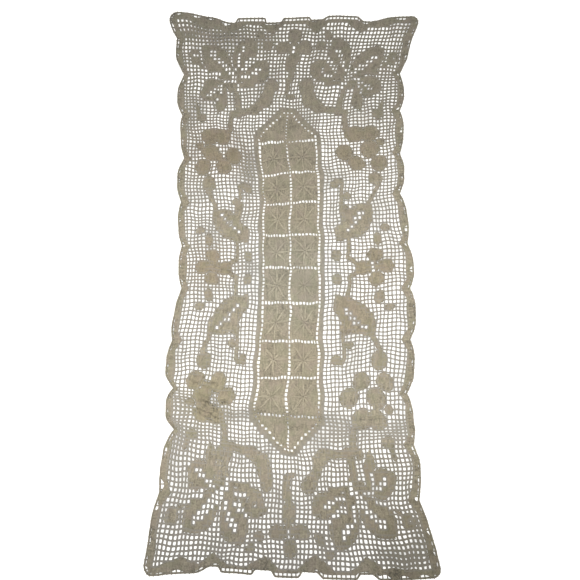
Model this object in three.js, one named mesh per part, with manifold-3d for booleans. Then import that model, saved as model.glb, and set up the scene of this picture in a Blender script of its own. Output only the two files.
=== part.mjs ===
// Filet crochet table runner lying flat: one sheet of cotton net worked in open and filled cells.
// A star panel with pointed ends runs down the middle, leaf and flower motifs fill the field around it,
// and a close-worked band follows the scalloped edge.
import * as THREE from 'three';
import { mergeVertices } from 'three/addons/utils/BufferGeometryUtils.js';
import Module from 'manifold-3d';

const wasm = await Module();
wasm.setup();

// Heights above the surface that the runner lies on, millimetres
const NET_LEVEL = 1.2;
const WORKED_LEVEL = 2.2;
const STAR_LEVEL = 3.0;
const ROOT_DEPTH = 0.5;

// The chart counts cells: columns from the middle line, rows from the middle row
const EDGE_COL = 33.2;
const EDGE_ROW = 71.2;
const PANEL_COL = 10.5;
const SQUARE = 9;
const SQUARE_ROWS = 36;
const TIP_SUM = 46;
const BAND_SUM = 48.5;
const HALF_CELL = 0.5;

// Where the chart lies on the surface, in millimetres, one line for each section across the runner:
// heights up the length at both edges and the middle, then places across of the left edge,
// the panel's two sides, the middle line between them, and the right edge
const SECTIONS = [
  // row, yLeft, yMid, yRight, xLeft, xPanelLeft, xMid, xPanelRight, xRight
  [-71, -450, -457, -455, -228, -73, -1, 72, 233],
  [-56, -331, -345, -344, -212, -66, -1, 64, 211],
  [-47, -257, -279, -280, -205, -64, -2, 58, 209],
  [-36, -192, -210, -208, -203, -66, -5, 56, 204],
  [-27, -143, -149, -148, -206, -61, -3, 54, 208],
  [-18, -84, -88, -82, -201, -57, -1, 55, 211],
  [-9, -17, -23, -17, -195, -54, 0, 57, 212],
  [0, 41, 39, 43, -191, -52, 0, 58, 211],
  [9, 96, 97, 104, -192, -55, 0, 58, 208],
  [18, 154, 155, 171, -196, -52, 1, 57, 204],
  [27, 213, 213, 224, -198, -56, 0, 58, 204],
  [36, 273, 271, 282, -197, -65, -6, 52, 206],
  [47, 344, 340, 354, -201, -66, -5, 56, 208],
  [56, 404, 406, 408, -206, -64, 2, 68, 212],
  [71, 524, 518, 519, -221, -61, 13, 84, 236],
];

// Dips between the scallops of the long sides: row, then depth in cells on the left and on the right
const SIDE_DIPS = [
  [-66.6, 0.6, 0.7],
  [-55.8, 1.0, 0.8],
  [-43.7, 2.2, 1.0],
  [-31.0, 2.3, 1.5],
  [-18.5, 0.9, 1.3],
  [-6.0, 1.2, 1.2],
  [6.0, 1.0, 1.0],
  [18.5, 1.0, 1.2],
  [31.0, 1.5, 1.2],
  [43.7, 1.5, 1.0],
  [55.8, 2.0, 1.3],
  [66.6, 1.5, 1.3],
];
const DIP_REACH = 3.6;
const DIP_SHAPE = 1.3;

// Notches between the tabs of the short ends: first and last column, on both sides of the middle
const END_NOTCHES = [
  [3.7, 8.2],
  [15.8, 19.6],
];
const NOTCH_DEPTH = 1.2;
const NOTCH_SLOPE = 0.5;
const CORNER_ROUND = 2.2;
const CORNER_TURNS = [0.15, 0.5, 0.85];

// Close-worked border: its width in cells, and how far it steps in behind a dip or a notch
const BORDER_WIDTH = 1.7;
const BORDER_STEP = 1.6;
const STEP_REACH = 2.4;

// Motif tables for one quarter of the field, in cells; the other quarters mirror it.
// Leaf lobes: base column and row, tip column and row, half width, share of the length where it is widest
const LOBES = [
  [16.4, 54.6, 11.0, 65.4, 3.8, 0.60],
  [14.6, 53.6, 5.0, 58.6, 3.1, 0.62],
  [16.4, 53.4, 26.6, 61.8, 4.3, 0.60],
  [17.4, 53.2, 28.6, 51.0, 3.7, 0.64],
  [18.2, 53.0, 21.5, 44.6, 2.2, 0.60],
  [13.2, 7.2, 24.0, 17.2, 4.2, 0.50],
];

// Petals and buds: column, row, half width across, half width along
const ROUNDS = [
  [4.8, 52.4, 2.2, 1.7],
  [19.9, 37.4, 2.5, 2.5],
  [24.3, 37.6, 2.9, 2.4],
  [17.0, 32.2, 2.5, 2.6],
  [20.3, 28.8, 2.6, 2.6],
  [23.9, 32.9, 2.7, 2.6],
  [26.4, 28.8, 2.4, 2.3],
  [25.0, 23.8, 2.4, 2.5],
  [13.6, 3.2, 1.4, 1.5],
  [13.5, 22.8, 1.2, 1.3],
  [17.0, 19.0, 1.3, 1.2],
  [24.6, 7.4, 1.2, 1.9],
  [27.0, 10.2, 1.4, 1.0],
  [20.4, 0.0, 1.9, 2.0],
  [26.2, 0.0, 2.2, 2.3],
  [23.4, 3.0, 2.1, 2.0],
  [26.0, 43.2, 1.7, 1.4],
  [29.0, 58.2, 1.3, 1.9],
  [7.2, 63.6, 1.3, 1.4],
  [9.2, 66.4, 1.1, 1.0],
  [3.4, 63.2, 2.4, 2.1],
  [0.0, 66.2, 2.0, 2.1],
  [0.0, 58.6, 1.8, 3.1],
];

// Stems: column and row at both ends, half width
const STEMS = [
  [15.6, 53.4, 15.2, 45.2, 0.8],
  [17.2, 44.4, 8.4, 45.8, 1.0],
  [16.9, 44.6, 17.6, 39.4, 0.9],
  [8.2, 46.0, 5.6, 48.8, 1.3],
  [5.6, 48.8, 3.8, 51.8, 1.3],
  [26.0, 22.0, 22.8, 15.2, 0.9],
  [16.4, 8.2, 16.4, 2.0, 0.8],
  [16.4, 2.2, 19.6, 1.4, 0.8],
  [15.5, 15.6, 15.4, 23.0, 0.7],
  [15.2, 23.4, 13.4, 23.6, 0.7],
  [26.4, 44.0, 27.6, 46.8, 0.8],
];

// Open veins that part the leaves: column and row at both ends
const VEINS = [
  [9.2, 61.4, 12.6, 56.8],
  [12.2, 62.6, 16.4, 55.6],
  [8.9, 56.8, 12.6, 54.9],
  [15.2, 52.0, 23.6, 59.8],
  [19.7, 53.4, 25.0, 50.8],
  [15.8, 9.8, 22.4, 15.6],
];
const VEIN_HALF = 0.4;

// Net gaps, cut at twice the pitch of the net: side of a gap's block in cells, and the bar left on each side
const GAP_BLOCK = 2;
const GAP_BAR = 0.27;
const MOTIF_CLEARANCE = 0.9;
const BORDER_CLEARANCE = 0.5;
const PANEL_CLEARANCE = 0.2;
const FIRST_FIELD_CELL = 1;
const LAST_FIELD_COL = 29;
const LAST_FIELD_ROW = 65;

// Stars on the panel squares: reach of the rays and of the valleys between them, in cells
const STAR_RAYS = 8;
const RAY_REACH = 3.7;
const VALLEY_REACH = 0.75;

// Points on the outlines of petals, buds and lobes, and how blunt a lobe's ends are
const PETAL_SIDES = 8;
const BUD_SIDES = 6;
const BUD_SIZE = 1.5;
const LOBE_STEPS = 4;
const LOBE_BLUNTNESS = 0.75;

// A strip runs past its ends by this share of its half width; points closer than the weld are one
const STRIP_OVERRUN = 0.5;
const WELD = 1e-4;

// The field's four quarters as signs of column and row
const QUARTERS = [[1, 1], [-1, 1], [-1, -1], [1, -1]];

// A smooth value along the length from one column of the section table
function alongLength(column, row) {
  const last = SECTIONS.length - 2;
  let i = 0;
  while (i < last && SECTIONS[i + 1][0] < row) i += 1;
  const slope = (k) => {
    const before = SECTIONS[Math.max(k - 1, 0)];
    const after = SECTIONS[Math.min(k + 1, SECTIONS.length - 1)];
    return (after[column] - before[column]) / (after[0] - before[0]);
  };
  const span = SECTIONS[i + 1][0] - SECTIONS[i][0];
  const t = (row - SECTIONS[i][0]) / span;
  const rise = SECTIONS[i + 1][column] - SECTIONS[i][column];
  if (t < 0) return SECTIONS[i][column] + slope(i) * t * span;
  if (t > 1) return SECTIONS[i + 1][column] + slope(i + 1) * (t - 1) * span;
  const ease = t * t * (3 - 2 * t);
  const lead = slope(i) * span * t * (1 - t) * (1 - t);
  const trail = slope(i + 1) * span * t * t * (1 - t);
  return SECTIONS[i][column] + rise * ease + lead - trail;
}

// Chart cell to surface, millimetres
function place(col, row) {
  const [yLeft, yMid, yRight, xLeft, xPanelLeft, xMid, xPanelRight, xRight] =
    [1, 2, 3, 4, 5, 6, 7, 8].map((column) => alongLength(column, row));
  const across = col / EDGE_COL;
  const y = yMid + (yRight - yLeft) / 2 * across + ((yRight + yLeft) / 2 - yMid) * across * across;
  const xPanel = col < 0 ? xPanelLeft : xPanelRight;
  const xEdge = col < 0 ? xLeft : xRight;
  const inPanel = Math.min(Math.abs(col) / PANEL_COL, 1);
  const inField = Math.max(Math.abs(col) - PANEL_COL, 0) / (EDGE_COL - PANEL_COL);
  const x = xMid + (xPanel - xMid) * inPanel + (xEdge - xPanel) * inField;
  return new THREE.Vector2(x, y);
}

// How far the scallops cut into a long side at a row, in cells; side is -1 on the left, 1 on the right
function dipDepth(side, row) {
  const depthColumn = side < 0 ? 1 : 2;
  let depth = 0;
  for (const dip of SIDE_DIPS) {
    const near = Math.max(1 - Math.abs(row - dip[0]) / DIP_REACH, 0);
    depth = Math.max(depth, dip[depthColumn] * near ** DIP_SHAPE);
  }
  return depth;
}

// Rows at which a scalloped side needs a point
function scallopRows() {
  const rows = [];
  SIDE_DIPS.forEach(([row], i) => {
    rows.push(row - DIP_REACH, row, row + DIP_REACH);
    if (i < SIDE_DIPS.length - 1) rows.push((row + SIDE_DIPS[i + 1][0]) / 2);
  });
  return rows.filter((row) => Math.abs(row) < EDGE_ROW - CORNER_ROUND);
}

// Points along the edge of a short end, from the right-hand corner to the left-hand one, as column and row
function endPoints() {
  const points = [];
  const cornerCol = EDGE_COL - CORNER_ROUND;
  const cornerRow = EDGE_ROW - CORNER_ROUND;
  for (const share of CORNER_TURNS) {
    const turn = share * Math.PI / 2;
    points.push([cornerCol + CORNER_ROUND * Math.cos(turn), cornerRow + CORNER_ROUND * Math.sin(turn)]);
  }
  for (const [first, last] of [...END_NOTCHES].reverse()) {
    points.push([last + NOTCH_SLOPE, EDGE_ROW], [last - NOTCH_SLOPE, EDGE_ROW - NOTCH_DEPTH]);
    points.push([first + NOTCH_SLOPE, EDGE_ROW - NOTCH_DEPTH], [first - NOTCH_SLOPE, EDGE_ROW]);
  }
  return [...points, ...points.map(([col, row]) => [-col, row]).reverse()];
}

// The runner's outline as column and row, counter-clockwise from the lower right
function outlineCells() {
  const rows = scallopRows();
  const right = rows.map((row) => [EDGE_COL - dipDepth(1, row), row]);
  const left = rows.map((row) => [dipDepth(-1, row) - EDGE_COL, row]).reverse();
  const top = endPoints();
  const bottom = top.map(([col, row]) => [-col, -row]);
  return [...right, ...top, ...left, ...bottom];
}

// The border's inner edge as column and row: it steps in behind each dip and each notch
function borderInnerCells() {
  const innerCol = EDGE_COL - BORDER_WIDTH;
  const innerRow = EDGE_ROW - BORDER_WIDTH;
  const right = SIDE_DIPS.flatMap(([row]) => [
    [innerCol, row - STEP_REACH],
    [innerCol - BORDER_STEP, row],
    [innerCol, row + STEP_REACH],
  ]).filter(([, row]) => Math.abs(row) < innerRow - STEP_REACH);
  const half = END_NOTCHES.map(([first, last]) => [
    [last, innerRow],
    [(first + last) / 2, innerRow - BORDER_STEP],
    [first, innerRow],
  ]).reverse().flat();
  const otherHalf = half.map(([col, row]) => [-col, row]).reverse();
  const top = [[innerCol, innerRow], ...half, ...otherHalf, [-innerCol, innerRow]];
  const left = right.map(([col, row]) => [-col, row]).reverse();
  const bottom = top.map(([col, row]) => [-col, -row]);
  return [...right, ...top, ...left, ...bottom];
}

const onSurface = (cells) => cells.map(([col, row]) => place(col, row));

// A closed upright block over an outline of cells, with optional holes, between two heights
function block(cells, bottom, top, holes = []) {
  const shape = new THREE.Shape(onSurface(cells));
  shape.holes = holes.map((hole) => new THREE.Path(onSurface(hole)));
  const geometry = new THREE.ExtrudeGeometry(shape, { depth: top - bottom, bevelEnabled: false });
  return geometry.translate(0, 0, bottom);
}

function solidOf(geometry) {
  const bare = geometry.clone();
  bare.deleteAttribute('normal');
  bare.deleteAttribute('uv');
  const merged = mergeVertices(bare, WELD);
  return new wasm.Manifold(new wasm.Mesh({
    numProp: 3,
    vertProperties: new Float32Array(merged.attributes.position.array),
    triVerts: new Uint32Array(merged.index.array),
  }));
}

function geometryOf(solid) {
  const mesh = solid.getMesh();
  const geometry = new THREE.BufferGeometry();
  geometry.setAttribute('position', new THREE.BufferAttribute(new Float32Array(mesh.vertProperties), 3));
  geometry.setIndex(new THREE.BufferAttribute(new Uint32Array(mesh.triVerts), 1));
  geometry.computeVertexNormals();
  return geometry;
}

const raised = (cells, holes = []) => solidOf(block(cells, NET_LEVEL - ROOT_DEPTH, WORKED_LEVEL, holes));
const joined = (solids) => solids.reduce((whole, solid) => whole.add(solid));

// Half width of a leaf lobe at a share t of its length
function lobeHalfWidth([, , , , halfWidth, widest], t) {
  const skew = Math.log(0.5) / Math.log(widest);
  return halfWidth * Math.sin(Math.PI * t ** skew) ** LOBE_BLUNTNESS;
}

function lobeCells(lobe) {
  const [col, row, tipCol, tipRow] = lobe;
  const axis = new THREE.Vector2(tipCol - col, tipRow - row);
  const side = new THREE.Vector2(-axis.y, axis.x).normalize();
  const edge = (t, sign) => {
    const width = lobeHalfWidth(lobe, t) * sign;
    return [col + axis.x * t + side.x * width, row + axis.y * t + side.y * width];
  };
  const shares = Array.from({ length: LOBE_STEPS - 1 }, (_, i) => (i + 1) / LOBE_STEPS);
  const rightEdge = shares.map((t) => edge(t, -1));
  const leftEdge = shares.map((t) => edge(t, 1)).reverse();
  return [[col, row], ...rightEdge, [tipCol, tipRow], ...leftEdge];
}

function roundCells([col, row, halfCol, halfRow]) {
  const sides = halfCol > BUD_SIZE ? PETAL_SIDES : BUD_SIDES;
  return Array.from({ length: sides }, (_, i) => {
    const turn = (i + HALF_CELL) * 2 * Math.PI / sides;
    return [col + halfCol * Math.cos(turn), row + halfRow * Math.sin(turn)];
  });
}

function stripCells(col, row, endCol, endRow, halfWidth) {
  const axis = new THREE.Vector2(endCol - col, endRow - row).normalize();
  const side = new THREE.Vector2(-axis.y, axis.x).multiplyScalar(halfWidth);
  const reach = axis.multiplyScalar(halfWidth * STRIP_OVERRUN);
  return [
    [col - reach.x - side.x, row - reach.y - side.y],
    [endCol + reach.x - side.x, endRow + reach.y - side.y],
    [endCol + reach.x + side.x, endRow + reach.y + side.y],
    [col - reach.x + side.x, row - reach.y + side.y],
  ];
}

// Mirroring across one axis turns an outline round, so its order is turned back
function quarterCells(cells, [colSign, rowSign]) {
  const mirrored = cells.map(([col, row]) => [col * colSign, row * rowSign]);
  return colSign * rowSign < 0 ? mirrored.reverse() : mirrored;
}

const motifOutlines = [
  ...LOBES.map(lobeCells),
  ...ROUNDS.map(roundCells),
  ...STEMS.map((stem) => stripCells(...stem)),
];
const veinOutlines = VEINS.map((vein) => stripCells(...vein, VEIN_HALF));

// Leaves, flowers and stems of all four quarters, parted by their veins
function motifSolid() {
  const motifs = joined(QUARTERS.flatMap((quarter) =>
    motifOutlines.map((cells) => raised(quarterCells(cells, quarter)))));
  const veins = joined(QUARTERS.flatMap((quarter) =>
    veinOutlines.map((cells) => solidOf(block(quarterCells(cells, quarter), NET_LEVEL, STAR_LEVEL)))));
  return motifs.subtract(veins);
}

const rectangle = (col, row, endCol, endRow) => [[col, row], [endCol, row], [endCol, endRow], [col, endRow]];

// Rows of the panel's cross ladders, from the lowest to the highest
function ladderRows() {
  const count = 2 * SQUARE_ROWS / SQUARE + 1;
  return Array.from({ length: count }, (_, i) => i * SQUARE - SQUARE_ROWS);
}

// The pointed ring just outside the panel's ladders, at a given half width and tip height
function panelRing(halfWidth, tipSum) {
  const right = ladderRows().map((row) => [halfWidth, row]);
  const shoulder = tipSum - halfWidth;
  right[0][1] = -shoulder;
  right[right.length - 1][1] = shoulder;
  const left = right.map(([col, row]) => [-col, -row]);
  return [...right, [0, tipSum], ...left, [0, -tipSum]];
}

// Panel of close-worked squares, its pointed ends and the band around it
function panelSolid() {
  const first = HALF_CELL;
  const last = SQUARE - HALF_CELL;
  const squares = ladderRows().slice(0, -1).flatMap((row) => [
    raised(rectangle(first, row + first, last, row + last)),
    raised(rectangle(-last, row + first, -first, row + last)),
  ]);
  const tip = [
    [first, SQUARE_ROWS + first],
    [last, SQUARE_ROWS + first],
    [last, TIP_SUM - 1 - last],
    [first, TIP_SUM - 1 - first],
  ];
  const tips = QUARTERS.map((quarter) => raised(quarterCells(tip, quarter)));
  const inner = panelRing(SQUARE + HALF_CELL, TIP_SUM + 1);
  const band = raised(panelOutline, [inner]);
  return joined([...squares, ...tips, band]);
}

// A raised star with eight ridged rays, standing on a panel square
function starSolid(col, row) {
  const cone = new THREE.ConeGeometry(1, 1, STAR_RAYS * 2).rotateX(Math.PI / 2);
  const position = cone.attributes.position;
  for (let i = 0; i < position.count; i += 1) {
    const turn = Math.atan2(position.getY(i), position.getX(i));
    const centred = Math.hypot(position.getX(i), position.getY(i)) < HALF_CELL;
    const ray = Math.round(turn / Math.PI * STAR_RAYS) % 2 === 0;
    const reach = centred ? 0 : (ray ? RAY_REACH : VALLEY_REACH);
    const at = place(col + reach * Math.cos(turn), row + reach * Math.sin(turn));
    position.setXYZ(i, at.x, at.y, position.getZ(i) > 0 ? STAR_LEVEL : WORKED_LEVEL - ROOT_DEPTH / 2);
  }
  return solidOf(cone);
}

function starSolids() {
  const middle = SQUARE / 2;
  return joined(ladderRows().slice(0, -1).flatMap((row) =>
    [middle, -middle].map((col) => starSolid(col, row + middle))));
}

// Whether an outline of cells holds a point
function holds(cells, col, row) {
  let inside = false;
  for (let i = 0, j = cells.length - 1; i < cells.length; j = i, i += 1) {
    const [c1, r1] = cells[i];
    const [c2, r2] = cells[j];
    if ((r1 > row) !== (r2 > row) && col < (c2 - c1) * (row - r1) / (r2 - r1) + c1) inside = !inside;
  }
  return inside;
}

// Points on and around a gap, out to a margin
function aroundGap([[col, row], , [endCol, endRow]], margin) {
  const cols = [col - margin, (col + endCol) / 2, endCol + margin];
  const rows = [row - margin, (row + endRow) / 2, endRow + margin];
  return cols.flatMap((c) => rows.map((r) => [c, r]));
}

const panelOutline = panelRing(PANEL_COL, BAND_SUM);
const borderInner = borderInnerCells();

// Whether a net gap keeps clear of the panel, the border and every motif
function clearOfWork(gap) {
  const meets = (cells, margin) => aroundGap(gap, margin).some(([col, row]) => holds(cells, col, row));
  const inField = aroundGap(gap, BORDER_CLEARANCE).every(([col, row]) => holds(borderInner, col, row));
  const offMotifs = motifOutlines.every((cells) => !meets(cells, MOTIF_CLEARANCE));
  return inField && offMotifs && !meets(panelOutline, PANEL_CLEARANCE);
}

// Gaps of one quarter: each block of the net that stays clear of close work
function quarterGaps() {
  const gaps = [];
  const gapSize = GAP_BLOCK - 2 * GAP_BAR;
  for (let col = FIRST_FIELD_CELL; col <= LAST_FIELD_COL; col += GAP_BLOCK) {
    for (let row = FIRST_FIELD_CELL; row <= LAST_FIELD_ROW; row += GAP_BLOCK) {
      const gapCol = col - HALF_CELL + GAP_BAR;
      const gapRow = row - HALF_CELL + GAP_BAR;
      const gap = rectangle(gapCol, gapRow, gapCol + gapSize, gapRow + gapSize);
      if (clearOfWork(gap)) gaps.push(gap);
    }
  }
  return gaps;
}

function sheetSolid() {
  const inQuarter = quarterGaps();
  const gaps = QUARTERS.flatMap((quarter) => inQuarter.map((gap) => quarterCells(gap, quarter)));
  return solidOf(block(outlineCells(), 0, NET_LEVEL, gaps));
}

const borderSolid = raised(outlineCells(), [borderInner]);
const runner = joined([sheetSolid(), borderSolid, motifSolid(), panelSolid(), starSolids()]);

const geometry = geometryOf(runner);
geometry.computeBoundingBox();
const centre = geometry.boundingBox.getCenter(new THREE.Vector3());
geometry.translate(-centre.x, -centre.y, 0);

const cotton = new THREE.MeshStandardMaterial({ color: 0xa59b80, roughness: 0.95, metalness: 0 });
const laceRunner = new THREE.Mesh(geometry, cotton);
laceRunner.name = 'lace_runner';

const group = new THREE.Group();
group.add(laceRunner);
export default group;
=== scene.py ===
"""Filet crochet table runner, worked stitch by stitch over its packed sheet."""
import itertools
import math

import bpy
import numpy as np
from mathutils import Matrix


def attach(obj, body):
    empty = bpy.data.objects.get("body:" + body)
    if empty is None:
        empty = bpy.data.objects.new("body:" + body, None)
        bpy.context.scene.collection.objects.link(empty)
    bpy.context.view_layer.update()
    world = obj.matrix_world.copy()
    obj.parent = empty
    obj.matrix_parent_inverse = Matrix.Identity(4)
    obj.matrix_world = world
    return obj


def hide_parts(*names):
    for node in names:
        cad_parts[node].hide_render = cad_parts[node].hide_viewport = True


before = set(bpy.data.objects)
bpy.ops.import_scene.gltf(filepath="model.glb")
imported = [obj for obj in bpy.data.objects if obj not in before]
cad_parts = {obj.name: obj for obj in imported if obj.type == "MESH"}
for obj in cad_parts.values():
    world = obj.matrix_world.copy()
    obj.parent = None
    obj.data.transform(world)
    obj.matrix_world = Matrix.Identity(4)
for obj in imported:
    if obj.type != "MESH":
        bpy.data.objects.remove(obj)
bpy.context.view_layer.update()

bl_info = {
    "name": "Filet crochet runner",
    "version": (1, 0, 0),
    "blender": (4, 5, 0),
    "location": "3D View > Sidebar > Runner",
    "description": "Works a filet crochet table runner over its packed sheet, with a stage to view it",
    "category": "Add Mesh",
}

MILLIMETRE = 0.001
SHEET_NODE = "lace_runner"
COTTON_NAME = "cotton_thread"
UP = np.array([0.0, 0.0, 1.0])
WHITE = (1.0, 1.0, 1.0, 1.0)
SHORTEST = 1e-12

# The map and the values that each mesh carries for the cotton
THREAD_MAP = "thread"
SHADE_NAME = "shade"
GREY_NAME = "grey"

# The chart counts cells: columns from the middle line, rows from the middle row
HALF_CELL = 0.5
LAST_COL = 33
LAST_ROW = 71
COLS = 2 * LAST_COL + 1
ROWS = 2 * LAST_ROW + 1
EDGE_COL = 33.2
EDGE_ROW = 71.2
OPEN, MOTIF, LADDER, SQUARE_FILL, BAND, EDGE = range(6)

# The panel: column of its side, cells to a square, and column and row added up along its slanted tips
PANEL_COL = 10.5
SQUARE = 9
SQUARE_ROWS = 4 * SQUARE
LADDER_COL = SQUARE
TIP_ROW = SQUARE_ROWS + SQUARE
TIP_SUM = TIP_ROW + 1
BAND_SUM = TIP_SUM + 2

# Where the chart lies on the surface, in millimetres, one line for each section across the runner:
# heights up the length at both edges and the middle, then places across of the left edge,
# the panel's two sides with the middle line between them, and the right edge
SECTIONS = np.array([
    # row, yLeft, yMid, yRight, xLeft, xPanelLeft, xMid, xPanelRight, xRight
    [-71, -450, -457, -455, -229, -73, -1, 72, 235],
    [-56, -331, -345, -344, -213, -66, -1, 64, 210],
    [-47, -257, -279, -280, -203, -64, -2, 58, 208],
    [-36, -192, -210, -208, -203, -66, -5, 56, 200],
    [-27, -143, -149, -148, -206, -61, -3, 54, 204],
    [-18, -84, -88, -82, -202, -57, -1, 55, 210],
    [-9, -17, -23, -17, -191, -54, 0, 57, 211],
    [0, 41, 39, 43, -190, -52, 0, 58, 211],
    [9, 96, 97, 104, -192, -55, 0, 58, 206],
    [18, 154, 155, 171, -196, -52, 1, 57, 200],
    [27, 213, 213, 224, -198, -56, 0, 58, 201],
    [36, 273, 271, 282, -194, -65, -6, 52, 202],
    [47, 344, 340, 354, -203, -66, -5, 56, 206],
    [56, 404, 406, 408, -204, -64, 2, 68, 208],
    [71, 524, 519, 522, -222, -61, 13, 84, 238],
], float)

# Dips between the scallops of the long sides: row, depth in cells on the left and on the right,
# and how far the border's inner edge steps in behind the dip
SIDE_DIPS = np.array([
    [-66.6, 0.1, 0.2, 0.3], [-55.8, 0.8, 0.8, 1.35], [-43.7, 2.2, 1.0, 1.35], [-31.0, 2.3, 1.5, 1.35],
    [-18.5, 0.9, 1.3, 1.35], [-6.0, 1.1, 1.2, 1.35], [6.0, 1.0, 1.0, 1.35], [18.5, 1.0, 1.2, 1.35],
    [31.0, 1.6, 1.2, 1.35], [43.7, 1.2, 1.2, 1.35], [55.8, 2.0, 1.4, 1.35], [65.2, 1.0, 0.3, 0.4],
])
DIP_REACH = 4.4
DIP_SHAPE = 1.5
STEP_REACH = 2.4

# Notches between the tabs of the short ends: end, first and last column, depth, then the run of the slopes
# on the left and on the right, all in cells; the far end is 1 and the near one -1
END_NOTCHES = (
    (1, -19.6, -15.8, 1.2, 5, 0.8), (1, -8.2, -3.7, 1.2, 0.6, 0.6),
    (1, 3.6, 7.9, 0.8, 0.6, 2), (1, 17.4, 23.4, 1.2, 2.2, 6),
    (-1, -19.6, -15.8, 1.2, 3.5, 1.2), (-1, -8.2, -3.7, 1.2, 1.2, 1.2),
    (-1, 2.4, 6.8, 1.2, 1.2, 1.6), (-1, 15.2, 19.2, 1, 1, 2),
)

# Close-worked border: its width in cells along the sides and along the ends, and the round of the corners
SIDE_BORDER = 1.95
END_BORDER = 1.7
CORNER_ROUND = 2.2

# Points taken of the outline across and along, to find the middle of its box
OUTLINE_STEPS = (300, 600)

# Teeth of the border's inner edge along the ends: end, column of the tip, half width at the foot, height
END_TEETH = (
    (1, -23.5, 5, 1.5), (1, -17.8, 4.4, 2.5), (1, -6.2, 3.2, 2.6),
    (1, 5.7, 3.3, 2.5), (1, 17.8, 3.6, 2.5), (1, 22.5, 5, 1.3),
    (-1, -24.8, 4.8, 1.8), (-1, -17.6, 3.3, 2.7), (-1, -6.2, 3.6, 2.5),
    (-1, 5.9, 4.2, 3), (-1, 17.3, 3.8, 2.7), (-1, 23.5, 6.5, 0.5),
)

# The tables from here to the eyes describe one quarter of the field, and the other quarters mirror it.
# Leaf lobes: base column and row, tip column and row, half width, share of the length where it is widest
LOBES = (
    (16.4, 54.6, 11.2, 65.4, 3.4, 0.60), (14.6, 54, 5.3, 58.3, 2.9, 0.62),
    (16.5, 53.9, 25.6, 62.8, 3.7, 0.61), (17.4, 53.4, 27.1, 50.9, 3.2, 0.63),
    (18.8, 52.8, 21.3, 44.9, 1.7, 0.60), (13.4, 7, 23.4, 16.6, 3.6, 0.54),
)
LOBE_BLUNTNESS = 0.75

# Petals and buds: column, row, half width across, half width along
ROUNDS = (
    (5, 52.4, 2.2, 1.9), (19.9, 37.4, 2.4, 2.4), (23.9, 37.6, 2.5, 2.3), (17, 32.2, 2.3, 2.4),
    (20.1, 28.8, 2.2, 2.4), (23.9, 32.9, 2.5, 2.4), (26.2, 28.8, 2.2, 2.2), (24.7, 24, 1.95, 2.2),
    (13.6, 3.2, 1.3, 1.4), (13.5, 22.8, 1.2, 1.3), (17, 19, 1.2, 1.1), (24.4, 7.6, 1.2, 1.7),
    (26.9, 10.3, 1.3, 1), (20.4, 0, 1.85, 1.75), (26.3, 0, 2, 2), (23.6, 3.2, 1.9, 1.8),
    (22.9, 0, 1.5, 1.8), (26, 43.2, 1.6, 1.4), (28.6, 60.1, 1.6, 1.9), (7.2, 63.6, 1.3, 1.4),
    (9.2, 66.4, 1.1, 1), (3.1, 62.8, 2, 1.8), (0, 66, 1.9, 1.8), (0, 58.6, 1.7, 3),
    (0, 62.8, 1.6, 1.6), (27, 34.9, 1.1, 1.1), (16.2, 15, 1.4, 1.6), (21.9, 37.6, 1.8, 1.7),
    (14.4, 9.4, 1.3, 2.2), (17.2, 52.8, 1.2, 1.5), (15.2, 54.4, 1.2, 1.1), (14.6, 56.2, 1, 1.2),
)

# Stems: column and row at both ends, half width
STEMS = (
    (15.5, 53.4, 15.4, 45.2, 0.7), (17, 44.6, 9.6, 45.9, 1), (16.9, 44.6, 17.6, 39.4, 0.7),
    (9.8, 46.2, 6.9, 48.4, 1.7), (6.9, 48.4, 5.4, 51.6, 2), (14.8, 53, 10.8, 53.2, 0.6),
    (25, 21.8, 22.6, 16.6, 0.6), (16.7, 7.4, 16.7, 2.6, 0.5), (16.7, 2.6, 18.9, 1, 0.55),
    (15.5, 15.6, 15.5, 23, 0.5), (15.3, 23.4, 13.4, 23.6, 0.6), (26.4, 44, 27.4, 46.6, 0.6),
    (27.7, 58.9, 25.9, 57.3, 0.45),
)

# Open veins that part the leaves: column and row at both ends, half width
VEINS = (
    (10.2, 59.7, 13.4, 57.1, 0.6), (12.5, 62.6, 15.9, 56.8, 0.65), (9.4, 57.2, 10.6, 55.8, 0.55),
    (10.6, 55.8, 14, 54.8, 0.55), (16.8, 54.8, 23.2, 60.5, 0.92), (14.8, 52.3, 16.8, 54.8, 0.5),
    (22, 55.6, 26, 56.6, 0.7), (19.4, 53.9, 24.3, 50.7, 0.62), (21.3, 49.4, 20.4, 51.8, 0.45),
    (15.9, 10.2, 21.2, 14.8, 0.45), (18, 12.2, 19.6, 13.7, 0.6), (28.7, 60, 28.9, 60.2, 0.62),
)

# Open cells in the eyes of the flowers: column and row
EYES = ((23, 0), (23, 1), (0, 62), (0, 63))

# Close-worked spots of one quarter alone, which close veins too: column, row, half width across and along
LONE_ROUNDS = (
    (-23, -35.4, 2.6, 1.5), (-16.4, 17.2, 1.3, 1.9), (-21.6, 31.6, 1.5, 1.6), (1.2, 60, 1.2, 1.8),
    (0.1, 55.2, 1, 1.6), (-0.8, 52.6, 0.8, 2.4), (0.5, 49.8, 1.6, 0.8), (-0.4, -54.6, 1.2, 1.6),
    (-0.7, -52.4, 0.9, 2.2), (0.2, -50.6, 1.3, 0.6), (13.6, 55, 1.2, 0.8), (-9.9, -56.4, 1.3, 1.1),
    (-21.1, -50.3, 0.9, 1.3), (-18.5, -50.6, 0.9, 2.4), (-22.7, -29.9, 1.2, 1.2), (-21.8, -31.3, 1, 1.2),
    (-18.6, -47.2, 1, 2), (18.9, -45.6, 1.1, 1.4), (-29, -60, 1.2, 1.2), (22.6, 55.9, 2.8, 0.9),
    (-23.2, 0.4, 1.1, 1.8),
)

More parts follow.
